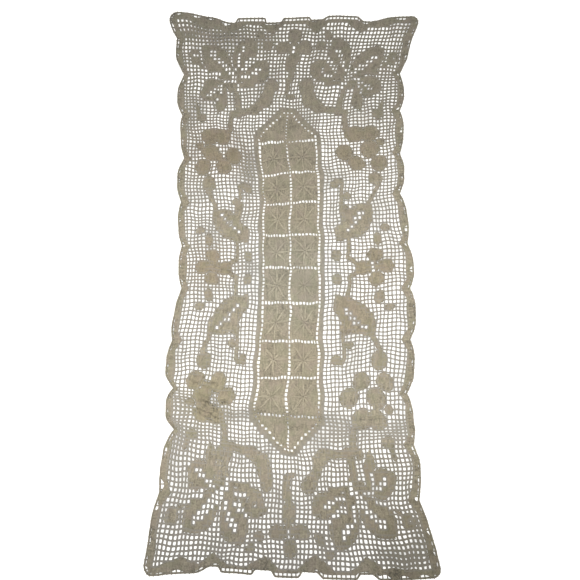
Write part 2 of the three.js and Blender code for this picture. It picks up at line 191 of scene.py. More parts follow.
# Where motifs sit off their mirrored places, in cells: column, row, reach and shift, each across and along
MOTIF_SHIFTS = (
    (17.4, -49, 2.6, 4.6, 1.7, 0), (-17.4, -49, 2.6, 4.6, -1.7, 0), (-19, -28.6, 4, 3, 0.8, 0),
    (-24, 61.5, 4, 3, 0.7, 1.3), (-28.2, 60.5, 2.2, 2, 1.2, 0.5), (-24, 51, 4, 3, 0.9, -0.7),
    (10, 56, 2.5, 2, -1, -1), (18, -12, 6, 5, -0.6, -0.8), (18, 12, 6, 5, 0.8, -0.2),
    (-24.7, 24, 3, 3, 0.8, 0), (24.6, 21.5, 3, 4, 1, -0.3), (21, -35.6, 7, 3.5, 0, 0.9),
    (-24.7, -24, 3, 3, 0.8, 0), (-13.2, 61.2, 2.4, 2.6, -1.9, 0.7), (21.5, 60, 4, 3, 0.3, -0.9),
    (-13, -61.5, 2.4, 2.8, -0.8, 0.9), (15, -59.6, 1.8, 2.2, 2, 0), (-15.5, 19, 1.5, 4, -1, 0),
    (-26.2, -28.8, 2, 2, 0.7, 0), (-23.9, -32.9, 2, 1.8, 0.9, 0.4), (-19.5, 57, 2.2, 2.2, 1.6, 0),
    (12.5, 62.6, 1.5, 1.5, 0, -0.8), (-21, -58, 2.5, 3, 0.7, 0), (-15.2, -58, 1.6, 1.6, -0.9, 0),
    (20.5, -58.5, 3, 3, -0.5, -0.7), (22.5, -52.8, 2, 1.6, 1.2, -0.4), (-5.8, 57.6, 1.8, 2.4, -1.6, 0),
    (-4.4, 52.2, 1.6, 2.2, -1, 0), (-26.5, -51.5, 1.8, 3, 1, 0), (-4.8, -52.4, 1.8, 2.8, -1.6, 0),
    (-6.4, -55.6, 1.6, 2, -1.3, -0.5), (5.4, -49, 2, 2.2, 1.6, -0.6), (20.2, -46.8, 1.2, 1.6, 0.9, 0),
    (22.6, -32.4, 2.2, 2.4, 0, 0.8), (0, -63.4, 5, 4, 0, 1), (-7.8, -65, 3, 3, 0, 0.9),
)

# Where the net is drawn together: column, row, reach across and along, share by which its thread looks fuller
CLOSE_SPOTS = (
    (-20, 67, 8, 2.4, 1), (-29, 68.4, 4, 1.6, 0.6), (-29.6, 66, 2.4, 1.1, 1.5), (-26, 0, 6, 16, 0.22),
    (-8.5, 64.5, 2.4, 3.4, 0.6), (8.5, 64.5, 2.2, 3, 0.4), (8.5, -64.5, 2.4, 3, 0.6),
    (-8.5, -65, 2, 2.6, 0.4),
    (27.5, -67, 4, 2.2, 0.8), (30.5, -61.5, 2.2, 6, 0.5), (-19, -65.6, 4, 1.2, 0.4), (27, 58, 2, 2.6, 0.4),
    (-13, 30, 2.4, 7, 0.8), (28, -41, 3, 3, 0.4), (-29, -36.8, 2.6, 4, 0.8), (0, 36, 1.2, 9, 0.5),
    (2.2, 36, 2.2, 0.8, 0.9), (0, 40, 1.2, 4, 0.5), (-7.4, 38.6, 2, 1.4, 0.8), (4, 0, 4, 0.8, 0.35),
    (5, -36, 5, 0.8, 0.5), (-5, -36, 5, 0.8, 0.35), (-1.5, 44.2, 3, 2, 0.7), (6.5, 41.5, 3, 2.5, 0.45),
    (-8.6, 37.4, 1.4, 1, 0.8), (-9, -35.6, 1.2, 2.2, 0.8), (9, -35.6, 1.2, 2.6, 0.8),
    (0, -36.8, 1.2, 2.4, 0.8),
    (23, 0, 1.5, 2, 0.6), (-23, 0, 1.5, 2, 0.9), (19, 12.5, 3, 3, 0.85), (-19, 12.5, 3, 3, 0.85),
    (18.5, -13, 3, 3, 0.8), (-18.5, -12.5, 3, 3, 0.8), (-29, -60, 1.2, 1.2, 1.5), (29, -60, 1.2, 1.2, 1.2),
    (29, 60, 1.2, 1.2, 1), (-14, -37, 4, 1, 0.5), (22, 65, 8, 4, -0.25), (-29.5, 40, 3, 5, 0.6),
    (-26, 26, 6, 8, 0.3), (29, 42, 3.5, 7, 0.35), (-13, 17, 2.5, 4, 0.4), (-13, 4, 2.5, 5, 0.3),
    (13.5, -39, 4, 5, 0.6), (18, -41, 4, 3, 0.3), (30, -41, 3, 7, 0.35), (-27, -44, 5, 4, 0.7),
    (-18.5, -38, 3, 2.5, 0.7), (23, -67, 4, 1.6, 0.6), (-9, 21.6, 1.1, 3, 0.8), (-15.5, 0.6, 2.8, 1.7, 0.6),
)

# The net is worked fuller towards both ends: by how much, from which row, and over how many rows
END_FULLNESS = 0.46
END_FULL_FROM = 36.0
END_FULL_RUN = 22.0

# Where the work is tugged out of place: column, row, reach in cells and shift in mm, each across and along
PULLS = (
    (-9, 29, 6, 7, 0, -8), (-25, -36, 6, 4, 3, 2), (-24, -23, 6, 6, 6, 8), (25, -22.5, 6, 6, -4, 8),
    (21, -30, 8, 5, 0, 5), (-30, 71, 5, 4, 0, 8), (-33, 69, 4, 3.5, -4, 0), (-19, 69, 6, 6, 0, -3),
    (11, 72, 8, 4, 0, 5), (33, 69, 4, 4, 3, 0), (-15, -72, 9, 5, 0, 6), (-32, -71, 4, 4, 0, -4),
    (22, -72, 13, 5, 0, -4), (33, -66, 4, 4, 3, 0), (26, -36, 8, 2.5, 0, -4), (26, -43, 8, 2.5, 0, 4),
    (0, -47, 7, 3.5, 0, 3), (-33, -43.5, 4, 2.5, 0, 6),
)

# Soft creases: column and row at both ends, reach in cells, height in mm
CREASES = (
    (-34, -36, 34, -38, 1.4, 2.4), (-30, 63, -12, 66.5, 1.6, 2.2), (-28, 68, -17, 62, 1.3, 1.8),
    (20, -66.8, 32, -64, 1.5, 1.8), (-14, 20, -11, 36, 1.4, 1.8), (-28, -27.6, -19, -30.4, 0.7, 2.2),
    (-25, -32.6, -15, -35, 0.7, 2.4), (-27, -36.4, -18, -39, 0.6, 2.2), (-21.6, -30, -19.4, -37.6, 0.6, 1.8),
)

# Creases are uneven in height, in waves of that many cells, and fade out at both ends
CREASE_UNEVEN = 0.4
CREASE_WAVE = 8.5
CREASE_SEED = 21
CREASE_FADE = 2.0

# Painted shade at the foot of a crease: its width in reaches, how dark it is, and the share of that past the
# sharp reach
CREASE_FOOT = 0.4
CREASE_PAINTED_SHADE = 0.9
SHARP_REACH = 1.0
BROAD_PAINTED_SHADE = 0.25

# Low swell of the whole cloth: height in mm, length of its waves in cells
SWELL_RISE = 1.0
SWELL_WAVE = 17.0
SWELL_SEED = 20

# Waves added up in any smooth unevenness, and how much shorter and longer than their stated length they come
WAVES = 6
WAVE_SPREAD = (0.7, 1.4)

# Unevenness of hand work: size in mm, length of its waves in cells, seeds across and along; calm at edges
WANDERS = ((1.3, 12.0, 30, 40), (0.8, 5.5, 31, 41))
EDGE_CALM = 3.0

# Shake of each knot in mm, its seeds across and along, and spare knots past the chart's two edges
KNOT_SHAKE = 0.42
KNOT_SEEDS = (50, 51)
SPARE_KNOTS = 5

# Unevenness of the thread's fullness: share, length of its waves and seed, then share and seed at each knot
FULL_WANDER = (0.10, 3.0, 60)
FULL_SHAKE = (0.08, 61)

# Lightness of the cotton: its middle, its limits, and its unevenness as share, length of the waves and seed
MID_SHADE = 0.5
SHADE_RANGE = (-0.4, 1.4)
SHADE_WANDERS = ((0.10, 9.0, 70), (0.09, 2.3, 71))

# Shades of the close work: each stitch's own, painted highlight on crests and painted shade in furrows, the
# panel's band, and the stars' hearts
STITCH_SHADE = 0.4
STITCH_SEED = 72
CREST_PAINTED_LIGHT = 0.08
FURROW_PAINTED_SHADE = -0.16
BAND_SHADE = 0.06
BAND_GREY = 0.6
HEART_SHADE = 0.22
HEART_REACH = 1.3

# Lengths in which the filet is worked up: name, first and last row
LENGTHS = (
    ("filet_near_end", -LAST_ROW, -37),
    ("filet_near_middle", -36, -1),
    ("filet_far_middle", 0, 35),
    ("filet_far_end", 36, LAST_ROW),
)

# The border goes all round the runner, in two pieces
BORDER_PIECES = ("border_band", "edge_loops")

# Threads: points round one, plies round one, rings along a bar's cell, and how far bars tuck under the border
THREAD_SIDES = 6
PLIES = 2.0
BAR_RINGS = 3
BAR_TUCK = 0.35
ROUND_THREAD = np.linspace(0.0, PLIES, THREAD_SIDES + 1)

# Half height of a bar, by the root of its fullness and at most, as shares of the height of its middle
BAR_FLATNESS = 0.85
BAR_TOP = 0.95

# A filled cell is three stitches side by side. The chart's lattice has a point on the crest of each stitch
# and one in each furrow between two, and lines of points at the foot of each row and further up it
STITCHES = 3
FILL_RINGS = 3
LATTICE = (2 * STITCHES, FILL_RINGS)

# Lean of the stitches in cells, crest left at a row's foot, and length of a row for the twist in metres
STITCH_LEAN = 0.05
ROW_CREST = 0.45
ROW_LENGTH = 0.0067

# Stars of the panel: rays, their reach and half width in cells and where they start; then their ribs
STAR_RAYS = 8
RAY_REACH = 4.1
RAY_BULGE = 0.14
RAY_START = 0.05
RIB_RINGS = 7
RIB_END = 0.55
RIB_SKEW = 0.7
RIB_SINK = 0.25
# The ribs' extra lightness is a painted highlight on their raised tops
RIB_PAINTED_LIGHT = 0.7

# The border is worked round the edge: stations to a cell along it, and round a corner
HALF_STITCHES = 6
CORNER_STATIONS = 22

# The border's section from its inner to its outer edge: share of its width, and height from furrow to crest,
# with a dip between its two rounds of stitches; then the way back underneath
BORDER_ACROSS = np.array([0.0, 0.12, 0.3, 0.46, 0.54, 0.7, 0.88, 1.0])
BORDER_CREST = np.array([0.1, 0.8, 1.0, 0.5, 0.5, 1.0, 0.8, 0.1])
BORDER_BACK = np.array([1.0, 0.66, 0.33, 0.0])

# Between two stitches of the border: share of the crest left and the painted shade of that gap; then painted
# shade where the border's section lies low, at its edges and underneath
BETWEEN_CREST = 0.35
BETWEEN_PAINTED_SHADE = 0.2
LOW_PAINTED_SHADE = 0.5
BORDER_SEED = 81

# How open the edge's loops are, on sides, corners and ends: middle, length of the waves in cells and seed
SIDE_LOOPS = (0.34, 3.1, 80)
CORNER_LOOPS = (0.38, 2.7, 82)
END_LOOPS = (0.4, 3.1, 83)
LOOP_UNEVEN = 0.3
LEAST_OPEN = 0.15
MOST_OPEN = 0.85

# Loops open more beside a dip: how open, how far from it and over what reach in cells
DIP_LOOPS = (0.52, 2.0, 1.2)

# Loops open more on the tabs of the ends: how open, to which column, over how many cells, but in no notch
TAB_LOOPS = 0.75
TAB_COL = 21.0
TAB_FADE = 2.0
NOTCHED = 0.5

# Loops of the edge: width in cells when wide open, largest share of the border, stations from bar to bar,
# how far the bars tuck in as a share of the border, their half width in bar widths, and their shade
LOOP_WIDTH = 1.3
MOST_LOOPED = 0.6
LOOP_SPACING = 6
LOOP_TUCK = 0.06
LOOP_BAR = 0.48
LOOP_SHADE = -0.3

# Threads along the border's edges: half width in bar widths and shade; then height and the outer one's inset
EDGE_CORD = (0.75, -0.5)
INNER_CHAIN = (0.5, -0.1)
CORD_HEIGHT = 0.9
EDGE_INSET = 0.25

# Patches where the cotton is made darker, lighter or tinted: column, row, reach in mm, share of red, green
# and blue left
TONE_PATCHES = (
    (-22, 33, 75, 0.91, 0.86, 0.81), (22, 33, 75, 0.95, 0.92, 0.87), (-24, 0.5, 65, 0.95, 0.91, 0.86),
    (24, 0.5, 65, 0.96, 0.93, 0.88), (-22, -33, 65, 1, 0.98, 0.90), (18, -12, 60, 0.97, 0.94, 0.91),
    (20, -54, 110, 0.88, 0.87, 0.84), (30, -68, 110, 0.80, 0.79, 0.73), (-1, -20, 120, 1.06, 1.05, 1.04),
    (0, -3, 120, 1, 1.03, 1.07), (31, -50, 70, 0.92, 0.92, 0.91), (29, 47, 60, 0.93, 0.93, 0.93),
)
PATCH_CORE = 0.4

# Noise values between which age, moss, rose and mottle come on, and how far the first three take over
AGE_RANGE = (0.40, 0.70)
MOSS_RANGE = (0.47, 0.62)
ROSE_RANGE = (0.49, 0.63)
MOTTLE_RANGE = (0.30, 0.70)
AGE_SHARE = 0.4
TINT_SHARE = 0.42
ROSE_FINENESS = 1.3

# Detail of broad and of fine noise, and shares of the twist and of the fibres in the thread's relief
BROAD_DETAIL = 3.0
FINE_DETAIL = 2.0
PLY_RELIEF = 0.6
FIBRE_RELIEF = 0.8

# How much of the net's own grey is lost towards the far end, and the faint clouds of the floor
NET_FADE = 0.8
CLOUD_SCALE = 2.0
CLOUD_SHARE = 0.06
CLOUD_COLOUR = (0.8, 0.8, 0.8, 1.0)


def smooth_step(value):
    """From 0 to 1, level at both, for values from 0 to 1."""
    value = np.clip(value, 0.0, 1.0)
    return value * value * (3.0 - 2.0 * value)


def along_length(row):
    """The eight values of the section table at each row, smooth along the length, in metres."""
    rows = SECTIONS[:, 0]
    values = SECTIONS[:, 1:] * MILLIMETRE
    last = len(rows) - 1
    before = np.maximum(np.arange(last + 1) - 1, 0)
    after = np.minimum(np.arange(last + 1) + 1, last)
    slope = (values[after] - values[before]) / (rows[after] - rows[before])[:, None]
    i = np.clip(np.searchsorted(rows, row) - 1, 0, last - 1)
    span = (rows[i + 1] - rows[i])[..., None]
    t = np.clip((row - rows[i])[..., None] / span, 0.0, 1.0)
    rise = (values[i + 1] - values[i]) * smooth_step(t)
    lead = slope[i] * span * t * (1.0 - t) ** 2
    trail = slope[i + 1] * span * t ** 2 * (1.0 - t)
    beyond = row - np.clip(row, rows[0], rows[-1])
    end_slope = np.where((row > 0)[..., None], slope[-1], slope[0])
    return values[i] + rise + lead - trail + end_slope * beyond[..., None]


def place(col, row):
    """Chart cells to the surface, in metres, before the box is centred and the work made uneven."""
    section = np.moveaxis(along_length(row), -1, 0)
    y_left, y_mid, y_right = section[:3]
    x_left, x_panel_left, x_mid, x_panel_right, x_right = section[3:]
    across = col / EDGE_COL
    y = y_mid + (y_right - y_left) / 2.0 * across + ((y_right + y_left) / 2.0 - y_mid) * across ** 2
    x_panel = np.where(col < 0, x_panel_left, x_panel_right)
    x_edge = np.where(col < 0, x_left, x_right)
    in_panel = np.minimum(np.abs(col) / PANEL_COL, 1.0)
    past_panel = np.maximum(np.abs(col) - PANEL_COL, 0.0) / (EDGE_COL - PANEL_COL)
    x = x_mid + (x_panel - x_mid) * in_panel + (x_edge - x_panel) * past_panel
    return x, y


def near_spot(col, row, spot):
    """How near chart points are to a spot of the tables, from 1 at its middle to 0."""
    mid_col, mid_row, reach_col, reach_row = spot
    return np.exp(-((col - mid_col) / reach_col) ** 2 - ((row - mid_row) / reach_row) ** 2)


def off_line(col, row, line):
    """How far chart points lie off a straight line, in cells, and where along it, from 0 to 1."""
    col_1, row_1, col_2, row_2 = line
    long_col, long_row = col_2 - col_1, row_2 - row_1
    share = ((col - col_1) * long_col + (row - row_1) * long_row) / (long_col ** 2 + long_row ** 2)
    share = np.clip(share, 0.0, 1.0)
    return np.hypot(col - col_1 - share * long_col, row - row_1 - share * long_row), share


def wander(col, row, wave, seed):
    """Smooth seeded unevenness, mostly from -1 to 1, in waves of about that many cells."""
    rng = np.random.default_rng(seed)
    total = np.zeros(np.shape(col))
    for _ in range(WAVES):
        way, phase = rng.uniform(0.0, 2.0 * math.pi, 2)
        length = wave * rng.uniform(*WAVE_SPREAD)
        total += np.sin((col * math.cos(way) + row * math.sin(way)) * 2.0 * math.pi / length + phase)
    return total / math.sqrt(WAVES)


def knot_shake(col, row, seed):
    """An own small shift for each knot of the net, even between knots."""
    rng = np.random.default_rng(seed)
    shifts = rng.uniform(-1.0, 1.0, (COLS + SPARE_KNOTS, ROWS + SPARE_KNOTS))
    u = col + LAST_COL + SPARE_KNOTS / 2.0
    v = row + LAST_ROW + SPARE_KNOTS / 2.0
    i, j = u.astype(int), v.astype(int)
    s, t = u - i, v - j
    near = shifts[i, j] * (1.0 - s) + shifts[i + 1, j] * s
    far = shifts[i, j + 1] * (1.0 - s) + shifts[i + 1, j + 1] * s
    return near * (1.0 - t) + far * t


def crease_ridges(col, row):
    """For each crease: distance off it in reaches, strength along it, rise in mm and reach in cells."""
    uneven = 1.0 + CREASE_UNEVEN * wander(col, row, CREASE_WAVE, CREASE_SEED)
    for *line, reach, rise in CREASES:
        off, share = off_line(col, row, line)
        ends = smooth_step(np.sin(math.pi * share) * CREASE_FADE)
        yield off / reach, uneven * ends, rise, reach


def crease_height(col, row):
    """How high soft creases and the swell of the cloth lift the work off the surface, in metres."""
    height = np.maximum(wander(col, row, SWELL_WAVE, SWELL_SEED), 0.0) * SWELL_RISE
    for off, strength, rise, _ in crease_ridges(col, row):
        height = np.maximum(height, rise * strength * np.exp(-off ** 2))
    return height * MILLIMETRE


def crease_painted_shade(col, row):
    """Painted shade at the foot of each crease: how much it is darkened, from 0 to about 1, and most for a
    sharp one.
    """
    dark = np.zeros(np.shape(col))
    for off, strength, _, reach in crease_ridges(col, row):
        weight = 1.0 if reach < SHARP_REACH else BROAD_PAINTED_SHADE
        dark = np.maximum(dark, weight * strength * np.exp(-((off - 1.0) / CREASE_FOOT) ** 2))
    return dark


def lay(col, row):
    """Chart cells to points on the cloth as it lies, in the part's frame, in metres."""
    x, y = place(col, row)
    from_sides = smooth_step((EDGE_COL - np.abs(col)) / EDGE_CALM)
    inward = from_sides * smooth_step((EDGE_ROW - np.abs(row)) / EDGE_CALM)
    for size, wave, seed_across, seed_along in WANDERS:
        x = x + size * MILLIMETRE * inward * wander(col, row, wave, seed_across)
        y = y + size * MILLIMETRE * inward * wander(col, row, wave, seed_along)
    x = x + KNOT_SHAKE * MILLIMETRE * knot_shake(col, row, KNOT_SEEDS[0])
    y = y + KNOT_SHAKE * MILLIMETRE * knot_shake(col, row, KNOT_SEEDS[1])
    for *spot, across, along in PULLS:
        near = near_spot(col, row, spot) * MILLIMETRE
        x = x + across * near
        y = y + along * near
    middle_x, middle_y = BOX_MIDDLE
    return np.stack([x - middle_x, y - middle_y, crease_height(col, row)], axis=-1)


def near_dip(row, reach):
    """How near rows are to each dip of the long sides, from 1 at the dip to 0 at that reach."""
    return np.maximum(1.0 - np.abs(row[..., None] - SIDE_DIPS[:, 0]) / reach, 0.0)


def dip_depth(side, row):
    """How far the scallops cut into a long side, in cells; side is -1 on the left, 1 on the right."""
    depths = SIDE_DIPS[:, 1] if side < 0 else SIDE_DIPS[:, 2]
    return (depths * near_dip(row, DIP_REACH) ** DIP_SHAPE).max(axis=-1)


def notch_depth(col, end):
    """How far the notches cut into a short end, in cells; end is 1 at the far one, -1 at the near one."""
    depth = np.zeros(np.shape(col))
    for notch_end, first, last, deepest, run_left, run_right in END_NOTCHES:
        if notch_end == end:
            rise = smooth_step((col - first + run_left / 2.0) / run_left)
            fall = smooth_step((last + run_right / 2.0 - col) / run_right)
            depth = np.maximum(depth, deepest * rise * fall)
    return depth


def inner_col(row):
    """Column of the border's inner edge along a long side."""
    return EDGE_COL - SIDE_BORDER - (SIDE_DIPS[:, 3] * near_dip(row, STEP_REACH)).max(axis=-1)


def inner_row(col, end):
    """Row of the border's inner edge along a short end, counted towards that end."""
    step = np.zeros(np.shape(col))
    for tooth_end, tip_col, half_foot, height in END_TEETH:
        if tooth_end == end:
            step = np.maximum(step, height * (1.0 - np.abs(col - tip_col) / half_foot))
    return EDGE_ROW - END_BORDER - step


def in_field(col, row, margin):
    """Whether chart points lie inside the border's inner edge, or past it by less than a margin."""
    end_row = np.where(row > 0, inner_row(col, 1), inner_row(col, -1))
    return (np.abs(col) <= inner_col(row) + margin) & (np.abs(row) <= end_row + margin)


def outline_middle():
    """Middle of the runner's box before it is centred, in metres."""
    steps_across, steps_along = OUTLINE_STEPS
    rows = np.linspace(-EDGE_ROW + CORNER_ROUND, EDGE_ROW - CORNER_ROUND, steps_along)
    cols = np.linspace(-EDGE_COL + CORNER_ROUND, EDGE_COL - CORNER_ROUND, steps_across)
    col = np.concatenate([EDGE_COL - dip_depth(1, rows), dip_depth(-1, rows) - EDGE_COL, cols, cols])
    row = np.concatenate([rows, rows, EDGE_ROW - notch_depth(cols, 1), notch_depth(cols, -1) - EDGE_ROW])
    x, y = place(col, row)
    return (x.min() + x.max()) / 2.0, (y.min() + y.max()) / 2.0


def lobe_holds(col, row, lobe):
    """Whether chart points lie on a leaf lobe, which is widest at its own share of the length."""
    base_col, base_row, tip_col, tip_row, half_width, widest = lobe
    long_col, long_row = tip_col - base_col, tip_row - base_row
    length = math.hypot(long_col, long_row)
    t = ((col - base_col) * long_col + (row - base_row) * long_row) / length ** 2
    off = np.abs((col - base_col) * long_row - (row - base_row) * long_col) / length
    # The sine is largest where the share along the lobe, to this power, is a half
    skew = math.log(0.5) / math.log(widest)
    width = half_width * np.sin(math.pi * np.clip(t, 0.0, 1.0) ** skew) ** LOBE_BLUNTNESS
    return (t > 0.0) & (t < 1.0) & (off <= width)


def round_holds(col, row, petal):
    """Whether chart points lie on a petal or bud."""
    mid_col, mid_row, half_col, half_row = petal
    return ((col - mid_col) / half_col) ** 2 + ((row - mid_row) / half_row) ** 2 <= 1.0


def strip_holds(col, row, strip):
    """Whether chart points lie on a stem or vein."""
    *line, half_width = strip
    off, _ = off_line(col, row, line)
    return off <= half_width


def motif_spots(col, row):
    """Chart points on the quarter that the motif tables describe, with each motif's own shift undone."""
    shift_col = np.zeros(col.shape)
    shift_row = np.zeros(col.shape)
    for *spot, across, along in MOTIF_SHIFTS:
        near = near_spot(col, row, spot)
        shift_col += across * near
        shift_row += along * near
    return np.abs(col - shift_col), np.abs(row - shift_row)


def motif_holds(col, row):
    """Whether chart points lie on a leaf, petal, bud or stem that all quarters have."""
    held = np.zeros(col.shape, bool)
    col, row = motif_spots(col, row)
    for test, table in ((round_holds, ROUNDS), (strip_holds, STEMS), (lobe_holds, LOBES)):
        for shape in table:
            held |= test(col, row, shape)
    return held


def spread(cells):
    """Marks of the chart's cells, spread over the small faces of the lattice."""
    across, along = LATTICE
    return np.repeat(np.repeat(cells, across, axis=0), along, axis=1)


def motif_cover(open_cells):
    """Marks the small faces of the lattice that the motifs cover, but for the cells left open."""
    across, along = LATTICE
    col = (np.arange(COLS * across) + 0.5) / across - LAST_COL - HALF_CELL
    row = (np.arange(ROWS * along) + 0.5) / along - LAST_ROW - HALF_CELL
    col, row = np.meshgrid(col, row, indexing="ij")
    held = motif_holds(col, row) & ~spread(open_cells)
    for spot in LONE_ROUNDS:
        held |= round_holds(col, row, spot)
    return held & in_field(col, row, BAR_TUCK)


def work_chart():
    """The kind of each cell of the chart, by column and row, and the small faces that the motifs cover."""
    signed_col, signed_row = np.meshgrid(
        np.arange(-LAST_COL, LAST_COL + 1.0), np.arange(-LAST_ROW, LAST_ROW + 1.0), indexing="ij")
    col, row = np.abs(signed_col), np.abs(signed_row)
    left_open = np.zeros(col.shape, bool)
    spot_col, spot_row = motif_spots(signed_col, signed_row)
    for vein in VEINS:
        left_open |= strip_holds(spot_col, spot_row, vein)
    for eye_col, eye_row in EYES:
        left_open |= (col == eye_col) & (row == eye_row)
    reach = col + row
    panel = (col <= PANEL_COL) & (reach <= BAND_SUM) & (row <= TIP_ROW + 1)
    cover = motif_cover(left_open | panel)
    across, along = LATTICE
    kind = np.full(col.shape, OPEN)
    kind[cover.reshape(COLS, across, ROWS, along).all(axis=(1, 3))] = MOTIF
    kind[panel] = BAND
    inside = (col < LADDER_COL) & (reach < TIP_SUM)
    kind[inside] = SQUARE_FILL
    side_ladder = (col == LADDER_COL) & (reach <= TIP_SUM)
    tip_ladder = (reach == TIP_SUM) & (col <= LADDER_COL) & (row <= TIP_ROW)
    cross_ladder = (row % SQUARE == 0) & (row <= SQUARE_ROWS)
    kind[side_ladder | tip_ladder | inside & ((col == 0) | cross_ladder)] = LADDER
    kind[~in_field(signed_col, signed_row, HALF_CELL)] = EDGE
    return kind, cover


BOX_MIDDLE = outline_middle()
CHART, MOTIF_COVER = work_chart()


def fullness(col, row):
    """How much fuller than usual the thread looks at chart points."""
    size, wave, seed = FULL_WANDER
    shake, shake_seed = FULL_SHAKE
    full = 1.0 + size * wander(col, row, wave, seed) + shake * knot_shake(col, row, shake_seed)
    full = full + END_FULLNESS * smooth_step((np.abs(row) - END_FULL_FROM) / END_FULL_RUN)
    for *spot, more in CLOSE_SPOTS:
        full = full + more * near_spot(col, row, spot)
    return full


def star_heart(col, row):
    """How near chart points are to the middle of a star of the panel, from 1 to 0."""
    off_col = np.abs(col) - SQUARE / 2.0
    off_row = np.mod(row, SQUARE) - SQUARE / 2.0
    near = np.exp(-(off_col ** 2 + off_row ** 2) / HEART_REACH ** 2)
    return near * (np.abs(row) < SQUARE_ROWS)


def shade_of(col, row):
    """Lightness of the cotton at chart points, about 0 to 1, uneven from place to place, with painted shade
    at the foot of each crease and darker hearts of the stars.
    """
    shade = MID_SHADE
    for share, wave, seed in SHADE_WANDERS:
        shade = shade + share * wander(col, row, wave, seed)
    # Painted shade darkens the foot of each crease
    return shade - CREASE_PAINTED_SHADE * crease_painted_shade(col, row) - HEART_SHADE * star_heart(col, row)


def stitch_shade(i, j):
    """An own lightness for each stitch of the close work, from the numbers of its lattice points."""
    across, along = LATTICE
    rng = np.random.default_rng(STITCH_SEED)
    shades = rng.uniform(-STITCH_SHADE, STITCH_SHADE, (COLS * STITCHES + 1, ROWS + 1))
    return shades[i * STITCHES // across, j // along]


class Stitches:
    """Points and faces of threads and close work, gathered for one mesh."""

    def __init__(self):
        self.points = []
        self.quads = []
        self.maps = []
        self.shades = []
        self.greys = []
        self.smooth = []
        self.count = 0

    def add(self, rings, run, around, shades, grey=0.0, closed=False):
        """Joins neighbouring rings of one run by faces; around is the map's value at each side of a ring."""
        total, sides = rings.shape[:2]
        middles = rings.mean(axis=1)
        steps = np.linalg.norm(np.diff(middles, axis=0), axis=1)
        along = np.concatenate([[0.0], np.cumsum(steps)])
        side = np.arange(sides)
        after = (side + 1) % sides
        here = np.flatnonzero(run[1:] == run[:-1])[:, None]
        ahead = here + 1
        if closed:
            here = np.append(here, [[total - 1]], axis=0)
            ahead = np.append(ahead, [[0]], axis=0)
        corners = (here * sides + side, here * sides + after, ahead * sides + after, ahead * sides + side)
        faces = np.stack(corners, axis=-1).reshape(-1, 4)
        shape = (len(here), sides)
        left = np.broadcast_to(around[:-1], shape)
        right = np.broadcast_to(around[1:], shape)
        low = np.broadcast_to(along[here], shape)
        high = np.broadcast_to(along[np.minimum(here + 1, total - 1)], shape)
        spots = np.stack([left, low, right, low, right, high, left, high], axis=-1).reshape(-1, 4, 2)
        self.keep(faces, spots, smooth=True)
        if not closed:
            first = np.flatnonzero(np.append([True], run[1:] != run[:-1]))
            last = np.flatnonzero(np.append(run[1:] != run[:-1], [True]))
            self.cap(first, sides, along, turned=True)
            self.cap(last, sides, along, turned=False)
        shades = np.broadcast_to(shades, (total, sides)).reshape(-1)
        self.keep_points(rings.reshape(-1, 3), shades, np.full(total * sides, grey))

    def cap(self, ring, sides, along, turned):
        """Closes the end rings of threads with faces from one side of the ring to the other."""
        k = np.arange(sides // 2 - 1)
        corners = np.stack([k, k + 1, sides - 2 - k, sides - 1 - k], axis=-1)
        if turned:
            corners = corners[:, ::-1]
        faces = (ring[:, None, None] * sides + corners).reshape(-1, 4)
        height = np.repeat(along[ring], len(k))
        spots = np.zeros((len(faces), 4, 2))
        spots[:, :, 1] = height[:, None]
        self.keep(faces, spots, smooth=False)

    def keep(self, faces, spots, smooth):
        """Keeps faces of points that are kept next, with their corners on the map."""
        self.quads.append(faces + self.count)
        self.maps.append(spots)
        self.smooth.append(np.full(len(faces), smooth))

    def keep_points(self, points, shades, greys):
        """Keeps points, with how light and how grey each is."""
        self.points.append(points)
        self.shades.append(shades)
        self.greys.append(greys)
        self.count += len(points)

    def piece(self, name):
        """One mesh object of all that was gathered."""
        points = np.concatenate(self.points)
        quads = np.concatenate(self.quads)
        mesh = bpy.data.meshes.new(name)
        mesh.vertices.add(len(points))
        mesh.vertices.foreach_set("co", points.astype(np.float32).ravel())
        mesh.loops.add(quads.size)
        mesh.loops.foreach_set("vertex_index", quads.astype(np.int32).ravel())
        mesh.polygons.add(len(quads))
        mesh.polygons.foreach_set("loop_start", np.arange(0, quads.size, 4, dtype=np.int32))
        mesh.polygons.foreach_set("use_smooth", np.concatenate(self.smooth))
        mesh.update(calc_edges=True)
        layer = mesh.uv_layers.new(name=THREAD_MAP)
        layer.uv.foreach_set("vector", np.concatenate(self.maps).astype(np.float32).ravel())
        for label, values in ((SHADE_NAME, self.shades), (GREY_NAME, self.greys)):
            layer = mesh.attributes.new(label, "FLOAT", "POINT")
            layer.data.foreach_set("value", np.concatenate(values).astype(np.float32))
        if mesh.validate():
            raise RuntimeError(f"{name} has faces that Blender had to correct")
        piece = bpy.data.objects.new(name, mesh)
        bpy.context.scene.collection.objects.link(piece)
        return piece


def unit(vectors):
    """Vectors made one long."""
    return vectors / np.maximum(np.linalg.norm(vectors, axis=-1, keepdims=True), SHORTEST)


def thread_rings(line, run, half_width, half_height, closed):
    """Rings round the lines of threads; run numbers the thread that each point of the line belongs to."""
    index = np.arange(len(line))
    if closed:
        ahead, behind = np.roll(index, -1), np.roll(index, 1)
    else:
        same = run[1:] == run[:-1]
        ahead = index + np.append(same, [False])
        behind = index - np.append([False], same)
    way = unit(line[ahead] - line[behind])
    side = unit(np.cross(UP, way))
    rise = np.cross(way, side)
    turn = (np.arange(THREAD_SIDES) + 0.5) * 2.0 * math.pi / THREAD_SIDES
    out = (side * half_width[:, None])[:, None] * np.cos(turn)[:, None]
    up = (rise * half_height[:, None])[:, None] * np.sin(turn)[:, None]
    return line[:, None] + out - up


